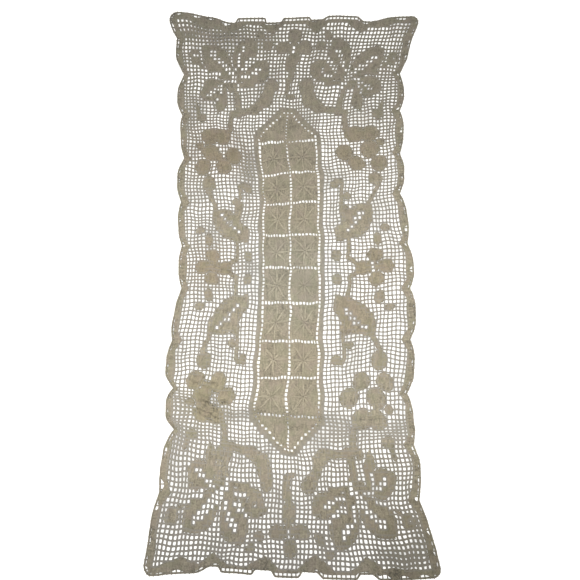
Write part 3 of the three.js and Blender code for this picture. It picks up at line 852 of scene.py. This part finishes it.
def add_threads(stitches, spots, run, lift, halves, shade=0.0, grey=0.0, closed=False):
    """Threads along chart points, lifted off the surface; halves are their half width and half height."""
    col, row = spots
    line = lay(col, row)
    line[:, 2] += lift
    half_width, half_height, _ = np.broadcast_arrays(*halves, col)
    rings = thread_rings(line, run, half_width, half_height, closed)
    stitches.add(rings, run, ROUND_THREAD, shade_of(col, row)[:, None] + shade, grey, closed)


def runs_in(mask):
    """First index, and one past the last, of each unbroken stretch of true values."""
    edges = np.flatnonzero(np.diff(np.concatenate([[0], mask.astype(int), [0]])))
    return list(zip(edges[::2], edges[1::2]))


def touches(cells, axis):
    """For each line between cells across an axis, whether a marked cell lies on either side of it."""
    room = [(0, 0), (0, 0)]
    room[axis] = (1, 1)
    wide = np.pad(cells, room)
    if axis == 0:
        return wide[:-1] | wide[1:]
    return wide[:, :-1] | wide[:, 1:]


def bar_stretches(lines, last_line, last_cell):
    """Places across and along of the rings of each bar on parallel lines, and which rings are at a knot."""
    for number, line in enumerate(lines):
        for start, stop in runs_in(line):
            ring = np.arange((stop - start) * BAR_RINGS + 1)
            across = np.full(len(ring), number - last_line - HALF_CELL)
            along = ring / BAR_RINGS + start - last_cell - HALF_CELL
            yield across, along, ring % BAR_RINGS == 0


def bar_lines(posts, chains):
    """Columns, rows, thread numbers and knots of the rings of net bars that lie inside the border.

    posts are marked by line between columns and by row, chains by column and by line between rows.
    """
    bars = list(bar_stretches(posts, LAST_COL, LAST_ROW))
    for row, col, knot in bar_stretches(chains.T, LAST_ROW, LAST_COL):
        bars.append((col, row, knot))
    parts = []
    for col, row, knot in bars:
        for start, stop in runs_in(in_field(col, row, BAR_TUCK)):
            if stop - start > 1:
                run = np.full(stop - start, len(parts))
                parts.append((col[start:stop], row[start:stop], run, knot[start:stop]))
    return [np.concatenate(part) for part in zip(*parts)]


def add_bars(stitches, posts, chains, sizes, grey):
    """Net bars, fuller at their knots; grey is how far they turn to the net's own colour."""
    col, row, run, knot = bar_lines(posts, chains)
    full = fullness(col, row) * np.where(knot, sizes.knot_swell, 1.0)
    half_height = np.minimum(np.sqrt(full) * BAR_FLATNESS, BAR_TOP) * sizes.thread_height
    halves = (full * sizes.thread_width / 2.0, half_height)
    add_threads(stitches, (col, row), run, sizes.thread_height, halves, grey=grey)


def lattice_points(sizes):
    """Columns, rows, heights, shades and greys of close work, at each point of the chart's lattice."""
    across, along = LATTICE
    i, j = np.meshgrid(np.arange(COLS * across + 1), np.arange(ROWS * along + 1), indexing="ij")
    on_crest = i % 2 == 1
    foot = j % along == 0
    row = j / along - LAST_ROW - HALF_CELL
    lean = np.where(foot, 0.0, np.where(np.floor(row + HALF_CELL) % 2 == 0, STITCH_LEAN, -STITCH_LEAN))
    col = i / across - LAST_COL - HALF_CELL + lean
    crest = on_crest * np.where(foot, ROW_CREST, 1.0)
    height = sizes.furrow_height + (sizes.stitch_height - sizes.furrow_height) * crest
    # Crests get a painted highlight and furrows painted shade, on top of each stitch's own random tone
    shade = shade_of(col, row) + stitch_shade(i, j) + np.where(on_crest, CREST_PAINTED_LIGHT, FURROW_PAINTED_SHADE)
    band = CHART[np.minimum(i // across, COLS - 1), np.minimum(j // along, ROWS - 1)] == BAND
    shade = np.clip(shade - BAND_SHADE * band, *SHADE_RANGE)
    return col, row, height, shade, BAND_GREY * band


def add_fills(stitches, face, sizes):
    """Close work on the marked faces of the lattice, a closed sheet with the ribs of its stitches on top."""
    across, along = LATTICE
    wide = np.pad(face, 1)
    used = wide[:-1, :-1] | wide[1:, :-1] | wide[:-1, 1:] | wide[1:, 1:]
    col, row, height, shade, grey = lattice_points(sizes)
    points = lay(col[used], row[used])
    number = np.cumsum(used.ravel()).reshape(used.shape) - 1
    total = len(points)
    back = points + UP * sizes.stitch_clearance
    front = points + UP * height[used][:, None]
    i, j = np.nonzero(face)
    ring = np.stack([number[i, j], number[i + 1, j], number[i + 1, j + 1], number[i, j + 1]], axis=-1)
    used_i, used_j = np.nonzero(used)
    on_map = np.stack([used_i * STITCHES / across, used_j / along * ROW_LENGTH], axis=-1)
    spots = np.tile(on_map, (2, 1))

    def keep(faces, smooth):
        stitches.keep(faces, spots[faces], smooth)

    keep(ring, smooth=True)
    keep(ring[:, ::-1] + total, smooth=True)
    neighbours = (wide[1:-1, :-2], wide[2:, 1:-1], wide[1:-1, 2:], wide[:-2, 1:-1])
    for side, neighbour in enumerate(neighbours):
        bare = ~neighbour[i, j]
        start, stop = ring[bare, side], ring[bare, (side + 1) % 4]
        keep(np.stack([stop, start, start + total, stop + total], axis=-1), smooth=False)
    stitches.keep_points(np.concatenate([front, back]), np.tile(shade[used], 2), np.tile(grey[used], 2))


def add_star_ribs(stitches, sizes):
    """Raised stars on the panel squares: eight slim leaves, each outlined by two ribs."""
    share = np.linspace(RAY_START, 1.0, RIB_RINGS)
    reach = RAY_REACH * share
    squares = range(-SQUARE_ROWS, SQUARE_ROWS, SQUARE)
    spots = []
    for square_row, side, ray, edge in itertools.product(squares, (-1, 1), range(STAR_RAYS), (-1, 1)):
        turn = ray * 2.0 * math.pi / STAR_RAYS
        off = edge * RAY_BULGE * np.sin(math.pi * share)
        col = side * SQUARE / 2.0 + reach * math.cos(turn) - off * math.sin(turn)
        row = square_row + SQUARE / 2.0 + reach * math.sin(turn) + off * math.cos(turn)
        spots.append((col, row))
    run = np.repeat(np.arange(len(spots)), RIB_RINGS)
    taper = RIB_END + (1.0 - RIB_END) * np.sin(math.pi * np.tile(share, len(spots)) ** RIB_SKEW)
    lift = sizes.stitch_height - RIB_SINK * sizes.rib_width + taper * sizes.rib_rise
    half = taper * sizes.rib_width / 2.0
    # Ribs are painted lighter, a painted highlight on their raised tops
    add_threads(stitches, np.concatenate(spots, axis=1), run, lift, (half, half), shade=RIB_PAINTED_LIGHT)


def openness(spots, loops):
    """How open the loops of the edge are at chart points, before dips and tabs open them more."""
    middle, wave, seed = loops
    return middle + LOOP_UNEVEN * wander(spots[:, 0], spots[:, 1], wave, seed)


def side_stations(side):
    """Outer edge, inner edge and openness of the loops along one long side, from the near end to the far."""
    reach = EDGE_ROW - CORNER_ROUND
    row = np.linspace(-reach, reach, round(2.0 * reach * HALF_STITCHES) + 1)
    outer = np.stack([side * (EDGE_COL - dip_depth(side, row)), row], axis=-1)
    inner = np.stack([side * inner_col(row), row], axis=-1)
    off = np.abs(row[:, None] - SIDE_DIPS[:, 0]).min(axis=1)
    most, from_dip, fade = DIP_LOOPS
    by_dip = most * np.exp(-((off - from_dip) / fade) ** 2)
    return outer, inner, np.maximum(by_dip, openness(outer, SIDE_LOOPS))


def corner_stations(side, end):
    """The same round one corner, from the long side to the short end."""
    turn = np.linspace(0.0, math.pi / 2.0, CORNER_STATIONS + 2)[1:-1]
    col = EDGE_COL - CORNER_ROUND + CORNER_ROUND * np.cos(turn)
    row = EDGE_ROW - CORNER_ROUND + CORNER_ROUND * np.sin(turn)
    outer = np.stack([side * col, end * row], axis=-1)
    inner_cols = np.minimum(col, EDGE_COL - SIDE_BORDER)
    inner_rows = np.minimum(row, EDGE_ROW - END_BORDER)
    inner = np.stack([side * inner_cols, end * inner_rows], axis=-1)
    return outer, inner, openness(outer, CORNER_LOOPS)


def end_stations(end):
    """The same along one short end, from the left to the right."""
    reach = EDGE_COL - CORNER_ROUND
    col = np.linspace(-reach, reach, round(2.0 * reach * HALF_STITCHES) + 1)
    notch = notch_depth(col, end)
    outer = np.stack([col, end * (EDGE_ROW - notch)], axis=-1)
    inner = np.stack([col, end * inner_row(col, end)], axis=-1)
    tab = smooth_step((TAB_COL - np.abs(col)) / TAB_FADE)
    plain = openness(outer, END_LOOPS)
    looped = np.where(notch > NOTCHED, plain, plain + (TAB_LOOPS - plain) * tab)
    return outer, inner, looped


def border_stations():
    """Outer edge, inner edge, openness of the loops and their share of the border, counter-clockwise."""
    def turned(stations):
        return [part[::-1] for part in stations]

    stretches = [
        side_stations(1),
        corner_stations(1, 1),
        turned(end_stations(1)),
        turned(corner_stations(-1, 1)),
        turned(side_stations(-1)),
        corner_stations(-1, -1),
        end_stations(-1),
        turned(corner_stations(1, -1)),
    ]
    outer, inner, looped = [np.concatenate(parts) for parts in zip(*stretches)]
    looped = np.clip(looped, 0.0, MOST_OPEN)
    width = np.linalg.norm(outer - inner, axis=1)
    share = np.minimum(LOOP_WIDTH * looped / width, MOST_LOOPED)
    return outer, inner, looped, share[:, None]


def add_border(stitches, sizes):
    """Two rounds of close stitches that follow the scallops."""
    outer, inner, _, share = border_stations()
    edge = outer + (inner - outer) * share
    across = np.concatenate([BORDER_ACROSS, BORDER_BACK])
    spots = inner[:, None] + (edge - inner)[:, None] * across[:, None]
    col, row = spots[..., 0], spots[..., 1]
    station = np.arange(len(outer))[:, None]
    between = station % 2 == 1
    crest = np.where(between, BETWEEN_CREST, 1.0) * BORDER_CREST
    top = sizes.furrow_height + (sizes.stitch_height - sizes.furrow_height) * crest
    below = np.full((len(outer), len(BORDER_BACK)), sizes.stitch_clearance)
    rings = lay(col, row)
    rings[..., 2] += np.concatenate([top, below], axis=1)
    rng = np.random.default_rng(BORDER_SEED)
    own_shades = rng.uniform(-STITCH_SHADE, STITCH_SHADE, len(outer) // 2 + 1)
    # Painted shade: darker in the gap between two stitches, where the section lies low, and underneath
    stitch = own_shades[station // 2] - BETWEEN_PAINTED_SHADE * between
    low_painted_shade = LOW_PAINTED_SHADE * np.concatenate([1.0 - BORDER_CREST, np.ones(len(BORDER_BACK))])
    shades = np.clip(shade_of(col, row) + stitch - low_painted_shade, *SHADE_RANGE)
    around = np.linspace(0.0, STITCHES, rings.shape[1] + 1)
    stitches.add(rings, np.zeros(len(outer), int), around, shades, closed=True)


def add_edge_loops(stitches, sizes):
    """The cord of the outer edge, the chain along the border's inner edge, and the bars of the open loops."""
    outer, inner, looped, share = border_stations()
    one_run = np.zeros(len(outer), int)
    half_height = CORD_HEIGHT * sizes.thread_height
    inset = outer + unit(inner - outer) * EDGE_INSET
    for line, half, shade in ((inset, *EDGE_CORD), (inner, *INNER_CHAIN)):
        halves = (half * sizes.thread_width, half_height)
        add_threads(stitches, line.T, one_run, sizes.thread_height, halves, shade, closed=True)
    chosen = np.flatnonzero((np.arange(len(outer)) % LOOP_SPACING == 0) & (looped > LEAST_OPEN))
    inward = ((inner - outer) * (share + LOOP_TUCK))[chosen]
    spots = outer[chosen, None] + inward[:, None] * np.linspace(0.0, 1.0, BAR_RINGS)[:, None]
    run = np.repeat(np.arange(len(chosen)), BAR_RINGS)
    halves = (LOOP_BAR * sizes.thread_width, half_height)
    add_threads(stitches, spots.reshape(-1, 2).T, run, sizes.thread_height, halves, LOOP_SHADE)


class Field:
    """A node's output in a material, with arithmetic that adds Math nodes."""

    def __init__(self, tree, socket):
        self.tree = tree
        self.socket = socket

    def math(self, operation, first, second=0.0):
        """The output of a Math node on two values or fields."""
        node = self.tree.nodes.new("ShaderNodeMath")
        node.operation = operation
        for socket, value in zip(node.inputs, (first, second)):
            feed(self.tree, socket, value)
        return Field(self.tree, node.outputs[0])

    def __add__(self, other):
        return self.math("ADD", self, other)

    def __radd__(self, other):
        return self.math("ADD", other, self)

    def __sub__(self, other):
        return self.math("SUBTRACT", self, other)

    def __rsub__(self, other):
        return self.math("SUBTRACT", other, self)

    def __mul__(self, other):
        return self.math("MULTIPLY", self, other)

    def __rmul__(self, other):
        return self.math("MULTIPLY", other, self)

    def sine(self):
        return self.math("SINE", self)

    def larger(self, other):
        return self.math("MAXIMUM", self, other)


def feed(tree, socket, value):
    """Gives a socket a link from a field, or a plain value."""
    if isinstance(value, Field):
        tree.links.new(value.socket, socket)
    else:
        socket.default_value = value


class Finish:
    """A new material, built from nodes."""

    def __init__(self, name):
        self.material = bpy.data.materials.new(name)
        self.material.use_nodes = True
        self.tree = self.material.node_tree
        self.tree.nodes.clear()

    def node(self, kind, settings=None, sockets=None, output=0):
        """Adds a node with its settings and socket values or links, and gives one of its outputs."""
        node = self.tree.nodes.new(kind)
        for name, value in (settings or {}).items():
            setattr(node, name, value)
        for name, value in (sockets or {}).items():
            feed(self.tree, node.inputs[name], value)
        return Field(self.tree, node.outputs[output])

    def blend(self, share, first, second, **settings):
        """A colour between two colours; settings are further ones of the node."""
        sockets = {"Factor": share, 6: first, 7: second}
        return self.node("ShaderNodeMix", {"data_type": "RGBA", **settings}, sockets, output=2)

    def scaled(self, colour, tint):
        """A colour times a tint."""
        return self.blend(1.0, colour, tint, blend_type="MULTIPLY")

    def noise(self, spot, scale, detail=BROAD_DETAIL):
        """Cloudy values from 0 to 1."""
        sockets = {"Vector": spot, "Scale": scale, "Detail": detail}
        return self.node("ShaderNodeTexNoise", {"noise_dimensions": "3D"}, sockets)

    def part(self, vector, axis):
        """One part of a vector."""
        return self.node("ShaderNodeSeparateXYZ", None, {"Vector": vector}, output=axis)

    def distance(self, spot, middle):
        """How far a place is from a fixed one."""
        sockets = {0: spot, 1: middle}
        return self.node("ShaderNodeVectorMath", {"operation": "DISTANCE"}, sockets, output="Value")

    def clear_range(self, value, low, high):
        """A value from 0 at low to 1 at high, smooth between."""
        sockets = {"Value": value, "From Min": low, "From Max": high}
        return self.node("ShaderNodeMapRange", {"interpolation_type": "SMOOTHSTEP"}, sockets)

    def surface(self, sockets):
        """The finished material, with those values of its surface."""
        shader = self.node("ShaderNodeBsdfPrincipled", None, sockets)
        end = self.tree.nodes.new("ShaderNodeOutputMaterial")
        feed(self.tree, end.inputs["Surface"], shader)
        return self.material


def cotton_colour(finish, spot, looks):
    """Ecru that is uneven from stitch to stitch, with patches of age, moss and rose."""
    shade = finish.node("ShaderNodeAttribute", {"attribute_name": SHADE_NAME}, output="Fac")
    mottle = finish.clear_range(finish.noise(spot, looks.mottle_scale, FINE_DETAIL), *MOTTLE_RANGE)
    light = shade + (mottle - 0.5) * looks.mottle_strength
    # The shade value runs from the darker to the paler colour: random tone, together with painted highlight
    # and painted shade
    colour = finish.blend(light, looks.dark_and_shaded_colour, looks.pale_and_lit_colour, clamp_factor=False)
    patches = (
        (looks.blotch_scale, AGE_RANGE, AGE_SHARE, looks.aged_colour),
        (looks.tint_scale, MOSS_RANGE, TINT_SHARE, looks.moss_colour),
        (looks.tint_scale * ROSE_FINENESS, ROSE_RANGE, TINT_SHARE, looks.rose_colour),
    )
    for scale, (low, high), share, patch_colour in patches:
        patch = finish.clear_range(finish.noise(spot, scale), low, high)
        colour = finish.blend(patch * share, colour, patch_colour)
    return colour


def greyed_and_shaded_colour(finish, spot, looks, colour):
    """The colour made greyer on the net, darker towards both ends by painted shade, and changed in the
    patches of the table.
    """
    grey = finish.node("ShaderNodeAttribute", {"attribute_name": GREY_NAME}, output="Fac")
    along = finish.part(spot, "Y")
    far = finish.clear_range(along, looks.far_end_from, looks.end_full_at)
    near = finish.clear_range(along * -1.0, looks.near_end_from, looks.end_full_at)
    colour = finish.blend(grey * looks.net_grey * (1.0 - far * NET_FADE), colour, looks.net_colour)
    # Painted shade: darker towards both ends, where the light falls off
    colour = finish.scaled(colour, finish.blend(far.larger(near), WHITE, looks.end_painted_shade))
    for col, row, reach, *left in TONE_PATCHES:
        off = finish.distance(spot, lay(np.array(col), np.array(row)))
        inside = 1.0 - finish.clear_range(off, PATCH_CORE * reach * MILLIMETRE, reach * MILLIMETRE)
        colour = finish.scaled(colour, finish.blend(inside, WHITE, (*left, 1.0)))
    return colour


def cotton_finish(looks):
    """Matt ecru cotton, with the thread's twist and its fibres."""
    finish = Finish(COTTON_NAME)
    spot = finish.node("ShaderNodeTexCoord", output="Object")
    thread = finish.node("ShaderNodeUVMap", {"uv_map": THREAD_MAP})
    fibre = finish.noise(spot, looks.fibre_scale, FINE_DETAIL)
    twist = finish.part(thread, "X") + finish.part(thread, "Y") * (1.0 / looks.twist_length)
    ply = (twist * (2.0 * math.pi)).sine()
    relief = ply * PLY_RELIEF + fibre * FIBRE_RELIEF
    bump_sockets = {"Strength": looks.twist_strength, "Distance": looks.twist_depth, "Height": relief}
    return finish.surface({
        "Base Color": greyed_and_shaded_colour(finish, spot, looks, cotton_colour(finish, spot, looks)),
        "Roughness": looks.roughness,
        "Sheen Weight": 0.15,
        "Sheen Roughness": 0.6,
        "Specular IOR Level": 0.25,
        "Normal": finish.node("ShaderNodeBump", None, bump_sockets),
    })


def floor_finish(looks):
    """Plain pale floor, with a trace of unevenness."""
    finish = Finish("pale_floor")
    clouds = finish.noise(finish.node("ShaderNodeTexCoord", output="Object"), CLOUD_SCALE)
    colour = finish.blend(clouds * CLOUD_SHARE, looks.floor_colour, CLOUD_COLOUR)
    return finish.surface({"Base Color": colour, "Roughness": 0.9, "Specular IOR Level": 0.2})


def length_property(name, description, default):
    """A length in metres."""
    return bpy.props.FloatProperty(name=name, description=description, default=default, unit="LENGTH")


def share_property(name, description, default):
    """A share, about 0 to 1."""
    return bpy.props.FloatProperty(name=name, description=description, default=default, subtype="FACTOR")


def number_property(name, description, default):
    """A plain number."""
    return bpy.props.FloatProperty(name=name, description=description, default=default)


def place_property(name, description, *default):
    """A place in metres."""
    return bpy.props.FloatVectorProperty(name=name, description=description, default=default, subtype="XYZ")


def colour_property(name, description, red, green, blue):
    """A colour, not see-through."""
    return bpy.props.FloatVectorProperty(
        name=name, description=description, default=(red, green, blue, 1.0), size=4, subtype="COLOR")


class StitchSizes(bpy.types.PropertyGroup):
    """Sizes of the thread and the stitches."""
    thread_width: length_property("Bar width", "Width of a bar of the net", 0.00215)
    thread_height: length_property("Bar height", "Height of a bar's middle above the surface", 0.00105)
    knot_swell: share_property("Knot swell", "How much fuller a bar is at its knots", 1.35)
    stitch_height: length_property("Stitch height", "Height of a stitch's crest above the surface", 0.0021)
    furrow_height: length_property("Furrow height", "Height of the furrow between two stitches", 0.0015)
    stitch_clearance: length_property("Back height", "Height of the back of the close work", 0.0002)
    rib_width: length_property("Rib width", "Width of a star's ribs", 0.0017)
    rib_rise: length_property("Rib rise", "How far a star's ribs stand out", 0.0007)


class CottonLooks(bpy.types.PropertyGroup):
    """Colours and relief of the cotton."""
    # Ends of the cotton's tone: paler and darker stitches at random, and also the painted highlight on crests
    # and painted shade in furrows and creases
    pale_and_lit_colour: colour_property("Crest colour", "Cotton on the crest of a stitch", 0.305, 0.270, 0.197)
    dark_and_shaded_colour: colour_property("Furrow colour", "Cotton between stitches", 0.170, 0.150, 0.109)
    aged_colour: colour_property("Aged colour", "Cotton where it has yellowed", 0.245, 0.212, 0.148)
    moss_colour: colour_property(
        "Moss colour", "Cotton where it has turned a little green", 0.215, 0.205, 0.135)
    rose_colour: colour_property(
        "Rose colour", "Cotton where it has turned a little pink", 0.265, 0.220, 0.175)
    net_colour: colour_property("Net colour", "Greyer thread of the net", 0.235, 0.219, 0.192)
    net_grey: share_property("Net grey", "How far the net's thread turns to its own colour", 0.75)
    # Painted shade that darkens both ends, and where it starts and where it is full
    end_painted_shade: colour_property(
        "End tint", "How much of each colour is left at the grey ends", 0.53, 0.535, 0.55)
    far_end_from: length_property(
        "Far grey from", "Distance from the middle where the far half starts to grey", 0.0)
    near_end_from: length_property(
        "Near grey from", "Distance from the middle where the near half starts to grey", 0.25)
    end_full_at: length_property("Grey to", "Distance from the middle where both ends are greyest", 0.52)
    tint_scale: number_property("Tint scale", "Tinted patches to a metre", 42.0)
    mottle_scale: number_property("Mottle scale", "Mottled specks to a metre", 430.0)
    mottle_strength: share_property("Mottle strength", "How strongly the mottle shows", 1.0)
    blotch_scale: number_property("Blotch scale", "Blotches of age to a metre", 16.0)
    fibre_scale: number_property("Fibre scale", "Fibre specks to a metre", 2400.0)
    twist_length: length_property("Twist length", "Length of one turn of the thread's twist", 0.0016)
    twist_depth: length_property("Twist depth", "Depth of the furrows of the twist", 0.00025)
    twist_strength: share_property("Twist strength", "How strongly the twist shows", 0.6)
    roughness: share_property("Roughness", "Roughness of the cotton", 0.92)


class StageLooks(bpy.types.PropertyGroup):
    """Floor, light and camera."""
    floor_size: length_property("Floor size", "Side of the floor", 8.0)
    floor_colour: colour_property("Floor colour", "Colour of the floor", 0.93, 0.925, 0.905)
    sky_colour: colour_property("Sky colour", "Colour of the soft light from all round", 1.0, 0.995, 0.98)
    sky_strength: number_property("Sky strength", "Strength of the soft light from all round", 1.2)
    key_power: bpy.props.FloatProperty(
        name="Key power", description="Power of the soft light overhead", default=22.0, unit="POWER")
    key_size: length_property("Key size", "Side of the soft light overhead", 1.2)
    key_place: place_property("Key place", "Place of the soft light overhead", -0.35, -0.35, 1.7)
    camera_tilt: bpy.props.FloatProperty(
        name="Camera tilt", description="Angle of the view from straight down", default=math.radians(14.0),
        unit="ROTATION")
    camera_distance: length_property(
        "Camera distance", "Distance from the camera to the point it looks at", 1.28)
    view_width: length_property("View width", "Width seen at that distance", 0.9802)
    aim: place_property("Aim", "Point that the camera looks at", -0.0036, -0.0329, 0.0)


def dressed(piece, finish):
    """Gives a piece its finish and its place in the part's frame."""
    piece.data.materials.append(finish)
    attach(piece, "root")
    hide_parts(SHEET_NODE)
    return piece


def cotton():
    """The one cotton that all the stitches share."""
    found = bpy.data.materials.get(COTTON_NAME)
    return found or cotton_finish(bpy.context.scene.runner_cotton)


def cells_area(marked):
    """Flat area of the marked cells of the chart, in square metres."""
    col, row = np.nonzero(marked)
    left, right = col - LAST_COL - HALF_CELL, col - LAST_COL + HALF_CELL
    near, far = row - LAST_ROW - HALF_CELL, row - LAST_ROW + HALF_CELL
    corners = ((left, near), (right, near), (right, far), (left, far))
    corner = [np.stack(place(*spots), axis=-1) for spots in corners]
    one, other = corner[2] - corner[0], corner[3] - corner[1]
    return float(np.abs(one[:, 0] * other[:, 1] - one[:, 1] * other[:, 0]).sum() / 2.0)


def declare_sheet(piece, marked):
    """Works out the flat area of a piece's marked cells, at most that of its box, and does nothing further
    with it.
    """
    low = np.array(piece.bound_box).min(axis=0)
    high = np.array(piece.bound_box).max(axis=0)
    width, length = (high - low)[:2]
    area = min(cells_area(marked), width * length)


def length_rows(first, last):
    """Marks the cells of the chart from one row to another."""
    row = np.arange(-LAST_ROW, LAST_ROW + 1)
    return np.broadcast_to((row >= first) & (row <= last), CHART.shape)


class RUNNER_OT_scalloped_border(bpy.types.Operator):
    """Works the close border and the open loops along the scalloped edge"""
    bl_idname = "runner.scalloped_border"
    bl_label = "Scalloped border"

    def execute(self, context):
        sizes = context.scene.runner_stitches
        for name, work in zip(BORDER_PIECES, (add_border, add_edge_loops)):
            stitches = Stitches()
            work(stitches, sizes)
            dressed(stitches.piece(name), cotton())
        return {"FINISHED"}


class RUNNER_OT_filet_lengths(bpy.types.Operator):
    """Works the net with its leaves and flowers, in four lengths"""
    bl_idname = "runner.filet_lengths"
    bl_label = "Filet lengths"

    def execute(self, context):
        sizes = context.scene.runner_stitches
        net = CHART == OPEN
        posts, chains = touches(net, 0), touches(net, 1)
        for name, first, last in LENGTHS:
            rows = length_rows(first, last)
            stitches = Stitches()
            own_chains = chains & np.append(rows, rows[:, -1:], axis=1)
            add_bars(stitches, posts & rows[:1], own_chains, sizes, grey=1.0)
            add_fills(stitches, MOTIF_COVER & spread(rows), sizes)
            piece = dressed(stitches.piece(name), cotton())
            declare_sheet(piece, rows & np.isin(CHART, (OPEN, MOTIF)))
        return {"FINISHED"}


class RUNNER_OT_star_panel(bpy.types.Operator):
    """Works the panel of squares between ladders, and the band around it"""
    bl_idname = "runner.star_panel"
    bl_label = "Star panel"

    def execute(self, context):
        sizes = context.scene.runner_stitches
        net, ladder = CHART == OPEN, CHART == LADDER
        stitches = Stitches()
        posts = touches(ladder, 0) & ~touches(net, 0)
        chains = touches(ladder, 1) & ~touches(net, 1)
        add_bars(stitches, posts, chains, sizes, grey=0.0)
        add_fills(stitches, spread(np.isin(CHART, (SQUARE_FILL, BAND))), sizes)
        piece = dressed(stitches.piece("star_panel"), cotton())
        ribs = Stitches()
        add_star_ribs(ribs, sizes)
        stars = dressed(ribs.piece("star_ribs"), cotton())
        declare_sheet(piece, np.isin(CHART, (SQUARE_FILL, BAND, LADDER)))
        return {"FINISHED"}


class RUNNER_OT_stage(bpy.types.Operator):
    """Adds the floor, the soft light and the camera"""
    bl_idname = "runner.stage"
    bl_label = "Stage"

    def execute(self, context):
        looks = context.scene.runner_stage
        bpy.ops.mesh.primitive_plane_add(size=looks.floor_size, location=(0.0, 0.0, 0.0))
        floor = context.object
        floor.name = "floor"
        floor.data.materials.append(floor_finish(looks))
        world = bpy.data.worlds.new("soft_sky")
        world.use_nodes = True
        sky = world.node_tree.nodes["Background"]
        sky.inputs["Color"].default_value = looks.sky_colour
        sky.inputs["Strength"].default_value = looks.sky_strength
        context.scene.world = world
        bpy.ops.object.light_add(type="AREA", location=looks.key_place)
        key = context.object
        key.name = "soft_key"
        key.data.energy = looks.key_power
        key.data.size = looks.key_size
        key.rotation_euler = (-key.location).to_track_quat("-Z", "Y").to_euler()
        tilt = looks.camera_tilt
        back = np.array([0.0, -math.sin(tilt), math.cos(tilt)]) * looks.camera_distance
        bpy.ops.object.camera_add(location=np.array(looks.aim) + back, rotation=(tilt, 0.0, 0.0))
        camera = context.object
        camera.name = "camera"
        camera.data.lens = camera.data.sensor_width * looks.camera_distance / looks.view_width
        context.scene.camera = camera
        context.scene.view_settings.view_transform = "Standard"
        return {"FINISHED"}


class RUNNER_PT_panel(bpy.types.Panel):
    """Lists the runner's sizes, looks and steps"""
    bl_idname = "RUNNER_PT_panel"
    bl_label = "Filet runner"
    bl_space_type = "VIEW_3D"
    bl_region_type = "UI"
    bl_category = "Runner"

    def draw(self, context):
        for group_name in GROUPS:
            group = getattr(context.scene, group_name)
            box = self.layout.box()
            for name in group.__annotations__:
                box.prop(group, name)
        for operator in OPERATORS:
            self.layout.operator(operator.bl_idname)


GROUPS = {"runner_stitches": StitchSizes, "runner_cotton": CottonLooks, "runner_stage": StageLooks}
OPERATORS = (RUNNER_OT_scalloped_border, RUNNER_OT_filet_lengths, RUNNER_OT_star_panel, RUNNER_OT_stage)


def register():
    for group in GROUPS.values():
        bpy.utils.register_class(group)
    for name, group in GROUPS.items():
        setattr(bpy.types.Scene, name, bpy.props.PointerProperty(type=group))
    for item in (*OPERATORS, RUNNER_PT_panel):
        bpy.utils.register_class(item)


def unregister():
    for item in (RUNNER_PT_panel, *reversed(OPERATORS)):
        bpy.utils.unregister_class(item)
    for name, group in GROUPS.items():
        delattr(bpy.types.Scene, name)
        bpy.utils.unregister_class(group)


def main():
    register()
    bpy.ops.object.select_all(action="DESELECT")
    bpy.ops.runner.scalloped_border()
    bpy.ops.runner.filet_lengths()
    bpy.ops.runner.star_panel()
    bpy.ops.runner.stage()


if __name__ == "__main__":
    main()
